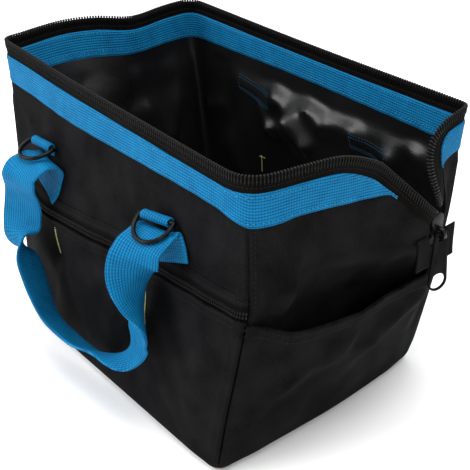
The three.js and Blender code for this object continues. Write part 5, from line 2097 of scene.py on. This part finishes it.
@dataclass
class ZipTail(BagPiece):
    """The slider at the end of the open zip, its pull and the webbing tab under it."""

    stitches: RunTree
    at: tuple[float, float] = (59.5, 160.3)
    lean: float = 12.0
    pull_lean: float = 2.0
    pull_turn: float = -12.0
    hinge: Triple = (5.8, 0.0, -5.0)
    pull_long: float = 49.0
    pull_top: float = 11.0
    pull_end: float = 8.2
    hole: float = 6.5
    pull_thick: float = 1.8
    pull_bar: float = 2.2
    slot: tuple[float, float] = (5.6, 4.6)
    tab_wide: float = 39.0
    tab_tall: float = 27.0
    tab_lean: float = 5.0
    tab_middle: tuple[float, float] = (59.2, 143.0)
    tab_cut: float = 9.5
    tab_crumple: Ripple = Ripple(26, 0.5, 91)

    def seat(self) -> Matrix:
        """Seat of the slider: outwards, sideways and up along the tail.

        Returns:
            The seat as a matrix.
        """
        y, z = (np.array(v) for v in self.at)
        x = float(FORM.skin(Wall.RIGHT)(FORM.share_at(Wall.RIGHT, y, z), z)[0]) - CLOTH / 2
        return Matrix.Translation((x, *self.at)) @ Matrix.Rotation(math.radians(self.lean), 4, "X")

    def build(self) -> None:
        """Builds the slider, the pull and the tab."""
        seat = self.seat()
        stand = Matrix(((0, 0, 1, 0), (1, 0, 0, 0), (0, 1, 0, 0), (0, 0, 0, 1)))
        self.slider(seat, stand)
        self.pull(seat, stand)
        self.tab(seat)

    def slider(self, seat: Matrix, stand: Matrix) -> None:
        """Builds the slider: two plates on a post, and the bail that holds the pull.

        Args:
            seat: Seat of the slider.
            stand: Turn that stands a plate up.
        """
        outline = np.array([
            [-3.2, -9.5], [3.2, -9.5], [3.3, -3.2], [5.5, 3.6], [5.3, 7.0], [3.4, 9.5],
            [-3.4, 9.5], [-5.3, 7.0], [-5.5, 3.6], [-3.3, -3.2],
        ])
        shift = Matrix.Translation
        arch = np.array([
            [3.2, -4.2], [7.9, -4.2], [9.3, -2.5], [9.3, 2.5], [7.9, 4.2], [3.2, 4.2],
            [3.2, 2.8], [7.6, 2.8], [7.6, -2.8], [3.2, -2.8],
        ])
        side = Matrix(((1, 0, 0, 0), (0, 0, -1, 0), (0, 1, 0, 0), (0, 0, 0, 1)))
        parts = [
            plate(name, [shape], thick, bevel, seat @ shift(place) @ turn, GUNMETAL)
            for name, shape, thick, bevel, place, turn in (
                ("slider_face", outline, 2.2, 0.5, (2.4, 0, 0), stand),
                ("slider_back", outline, 2.6, 0.5, (-2.7, 0, 0), stand),
                ("slider_post", rounded_box(3.4, 7.0, 1.2), 5.0, 0.2, (0, 0, 4.6), stand),
                ("slider_bail", arch, 2.9, 0.25, (0, 0, self.hinge[2]), side),
            )
        ]
        self.keep(joined("slider", parts), GUNMETAL, "zip_slider")

    def pull(self, seat: Matrix, stand: Matrix) -> None:
        """Builds the pull: a tapered plate with a slot and a round hole.

        Args:
            seat: Seat of the slider.
            stand: Turn that stands a plate up.
        """
        edge = 0.35
        top = self.pull_bar / 2
        end = top - self.pull_long + self.pull_end
        angle = np.linspace(math.pi, 2 * math.pi, 33)
        bow = directions(angle) * (self.pull_end - edge) + (0, end)
        half = self.pull_top / 2
        left = np.array([[-half + 1.4, top - edge], [-half + edge, top - 1.4]])
        outline = np.vstack([left, bow, left[::-1] * (-1, 1)])
        around = np.linspace(0, 2 * math.pi, 48, endpoint=False)
        hole = directions(around) * (self.hole + edge) + (0, end)
        slot = rounded_box(self.slot[0] + 2 * edge, self.slot[1] + 2 * edge, 0.9)
        slot = slot + (0, top - self.pull_bar - self.slot[1] / 2)
        lean = Matrix.Rotation(math.radians(self.pull_lean), 4, "X")
        turn = lean @ Matrix.Rotation(math.radians(self.pull_turn), 4, "Z")
        place = Matrix.Translation(seat @ Vector(self.hinge)) @ turn @ stand
        pull = plate("pull_plate", [outline, hole, slot], self.pull_thick, edge, place, BLACK_PAINT)
        self.keep(pull, BLACK_PAINT, "zip_pull", body="pull")

    def tab(self, seat: Matrix) -> None:
        """Builds the webbing tab behind the slider, cut away round its lower end.

        Args:
            seat: Seat of the slider.
        """
        x = seat.translation.x + CLOTH / 2 + GAP
        across = np.linspace(-0.5, 0.5, 33) * self.tab_wide
        top = self.tab_tall / 2 - self.tab_cut * ease((self.tab_cut - np.abs(across - 0.5)) / 2.5)
        share = np.concatenate([[0, 0.02, 0.06], np.linspace(0.12, 0.9, 12), [0.95, 0.985, 1]])
        up = -self.tab_tall / 2 + (top + self.tab_tall / 2)[:, None] * share[None]
        side = np.broadcast_to(across[:, None], up.shape)
        lean = math.radians(self.tab_lean)
        y = self.tab_middle[0] + side * math.cos(lean) - up * math.sin(lean)
        z = self.tab_middle[1] + side * math.sin(lean) + up * math.cos(lean)
        wave = self.tab_crumple.push(side, up)
        ends = np.minimum(share, 1 - share)[None] * self.tab_tall
        edge = np.minimum(ends, (self.tab_wide / 2 - np.abs(across))[:, None])
        half = 0.45 + 0.75 * ease(edge / 1.0)
        middle = x + 1.4 + wave * 0.6
        outer = np.stack([middle + half, y, z], -1)
        inner = np.stack([middle - half, y, z], -1)
        uv = np.stack([up, side], -1) * MM
        self.layer("tail_tab", outer, inner, [BLACK_WEBBING], "zip_end_tab", "zip_tail", uv=uv)
        rows = (outer[2, 2:-2], outer[-3, 2:-2], outer[2:-2, 2])
        lines = [(row + (SEWN_OFF, 0, 0), np.tile([1.0, 0, 0], (len(row), 1))) for row in rows]
        self.stitch("tail_tab_stitches", lines, TAB_SEAM)


@dataclass
class Stage:
    """Floor, lights and the camera."""

    eye: Triple = (566.20, -457.54, 511.32)
    right: Triple = (0.63706, 0.77075, 0.01003)
    up: Triple = (-0.38513, 0.30701, 0.87030)
    back: Triple = (0.66771, -0.55829, 0.49242)
    lens: float = 79.66
    sensor: float = 36.0
    sky: float = 0.86
    floor_half: float = 6.0
    clip: float = 0.01

    def build(self) -> None:
        """Makes the floor, the lights and the camera."""
        self.floor()
        bpy.context.scene.view_settings.view_transform = "Standard"
        self.lamp("overhead", (0.0, 0.1, 1.7), (0.0, 0.0, 0.1), 1.5, 30)
        self.lamp("key", (-0.8, -1.5, 1.2), (0.0, 0.0, 0.12), 1.4, 34)
        self.lamp("side", (1.7, 0.1, 0.9), (0.0, 0.0, 0.12), 1.0, 6)
        world = bpy.data.worlds.new("studio")
        world.use_nodes = True
        sky = world.node_tree.nodes["Background"].inputs
        sky[0].default_value, sky[1].default_value = (1, 1, 1, 1), self.sky
        bpy.context.scene.world = world
        data = bpy.data.cameras.new("photo_camera")
        data.lens = self.lens
        data.sensor_width = self.sensor
        data.clip_start = self.clip
        camera = linked("photo_camera", data)
        turn = Matrix((self.right, self.up, self.back)).transposed().to_4x4()
        camera.matrix_world = Matrix.Translation(Vector(self.eye) * MM) @ turn
        bpy.context.scene.camera = camera

    def floor(self) -> None:
        """Makes a wide pale floor."""
        mesh = bpy.data.meshes.new("floor")
        r = self.floor_half
        mesh.from_pydata([(-r, -r, 0), (r, -r, 0), (r, r, 0), (-r, r, 0)], [], [(0, 1, 2, 3)])
        bench = NodeBench("pale_floor")
        tone = bench.noise(3, 2)
        bench.drive(Base_Color=bench.ramp(tone, (0.93, 0.93, 0.93), (0.95, 0.95, 0.95)), Roughness=0.9)
        mesh.materials.append(bench.material)
        linked("floor", mesh)

    def lamp(self, name: str, place: Triple, aim: Triple, size: float, power: float) -> None:
        """Adds a soft area lamp.

        Args:
            name: Name of the lamp.
            place: Where it stands, in metres.
            aim: What it points at.
            size: Side of the lamp.
            power: Power in watts.
        """
        data = bpy.data.lights.new(name, "AREA")
        data.size = size
        data.energy = power
        lamp = linked(name, data)
        lamp.location = place
        lamp.rotation_euler = (Vector(aim) - Vector(place)).to_track_quat("-Z", "Y").to_euler()


RINGS = (
    # name, wall, middle of the bar, direction of the bar, swing from straight down
    ("front_left", Wall.FRONT, (-94.0, -100.42, 174.5), (0.99756, 0.06976, 0.0), 75.0),
    ("front_right", Wall.FRONT, (58.5, -102.02, 174.5), (0.9563, 0.29237, 0.0), 60.0),
    ("back_left", Wall.BACK, (-72.5, 112.32, 174.5), (-0.9563, -0.29237, 0.0), 60.0),
    ("back_right", Wall.BACK, (80.0, 110.29, 174.5), (-0.99756, -0.06976, 0.0), 75.0),
)


def main() -> None:
    """Builds the bag piece by piece, then the stage."""
    logging.basicConfig(level=logging.INFO, format="%(message)s")
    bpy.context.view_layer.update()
    teeth = RunTree(RunShape.TOOTH)
    stitches = RunTree(RunShape.STITCH)
    mouth = Mouth(teeth, stitches)
    mouth.build()
    shell = Shell(mouth, stitches)
    shell.build()
    pocket = FrontPocket(stitches, shell)
    pocket.build()
    EndPocket(stitches).build()
    for wall in (Wall.FRONT, Wall.BACK):
        Handle(wall, pocket, stitches).build()
    for name, wall, middle, along, swing in RINGS:
        RingFitting(name, wall, middle, along, swing).build()
    ZipTail(stitches).build()
    Stage().build()


if __name__ == "__main__":
    main()
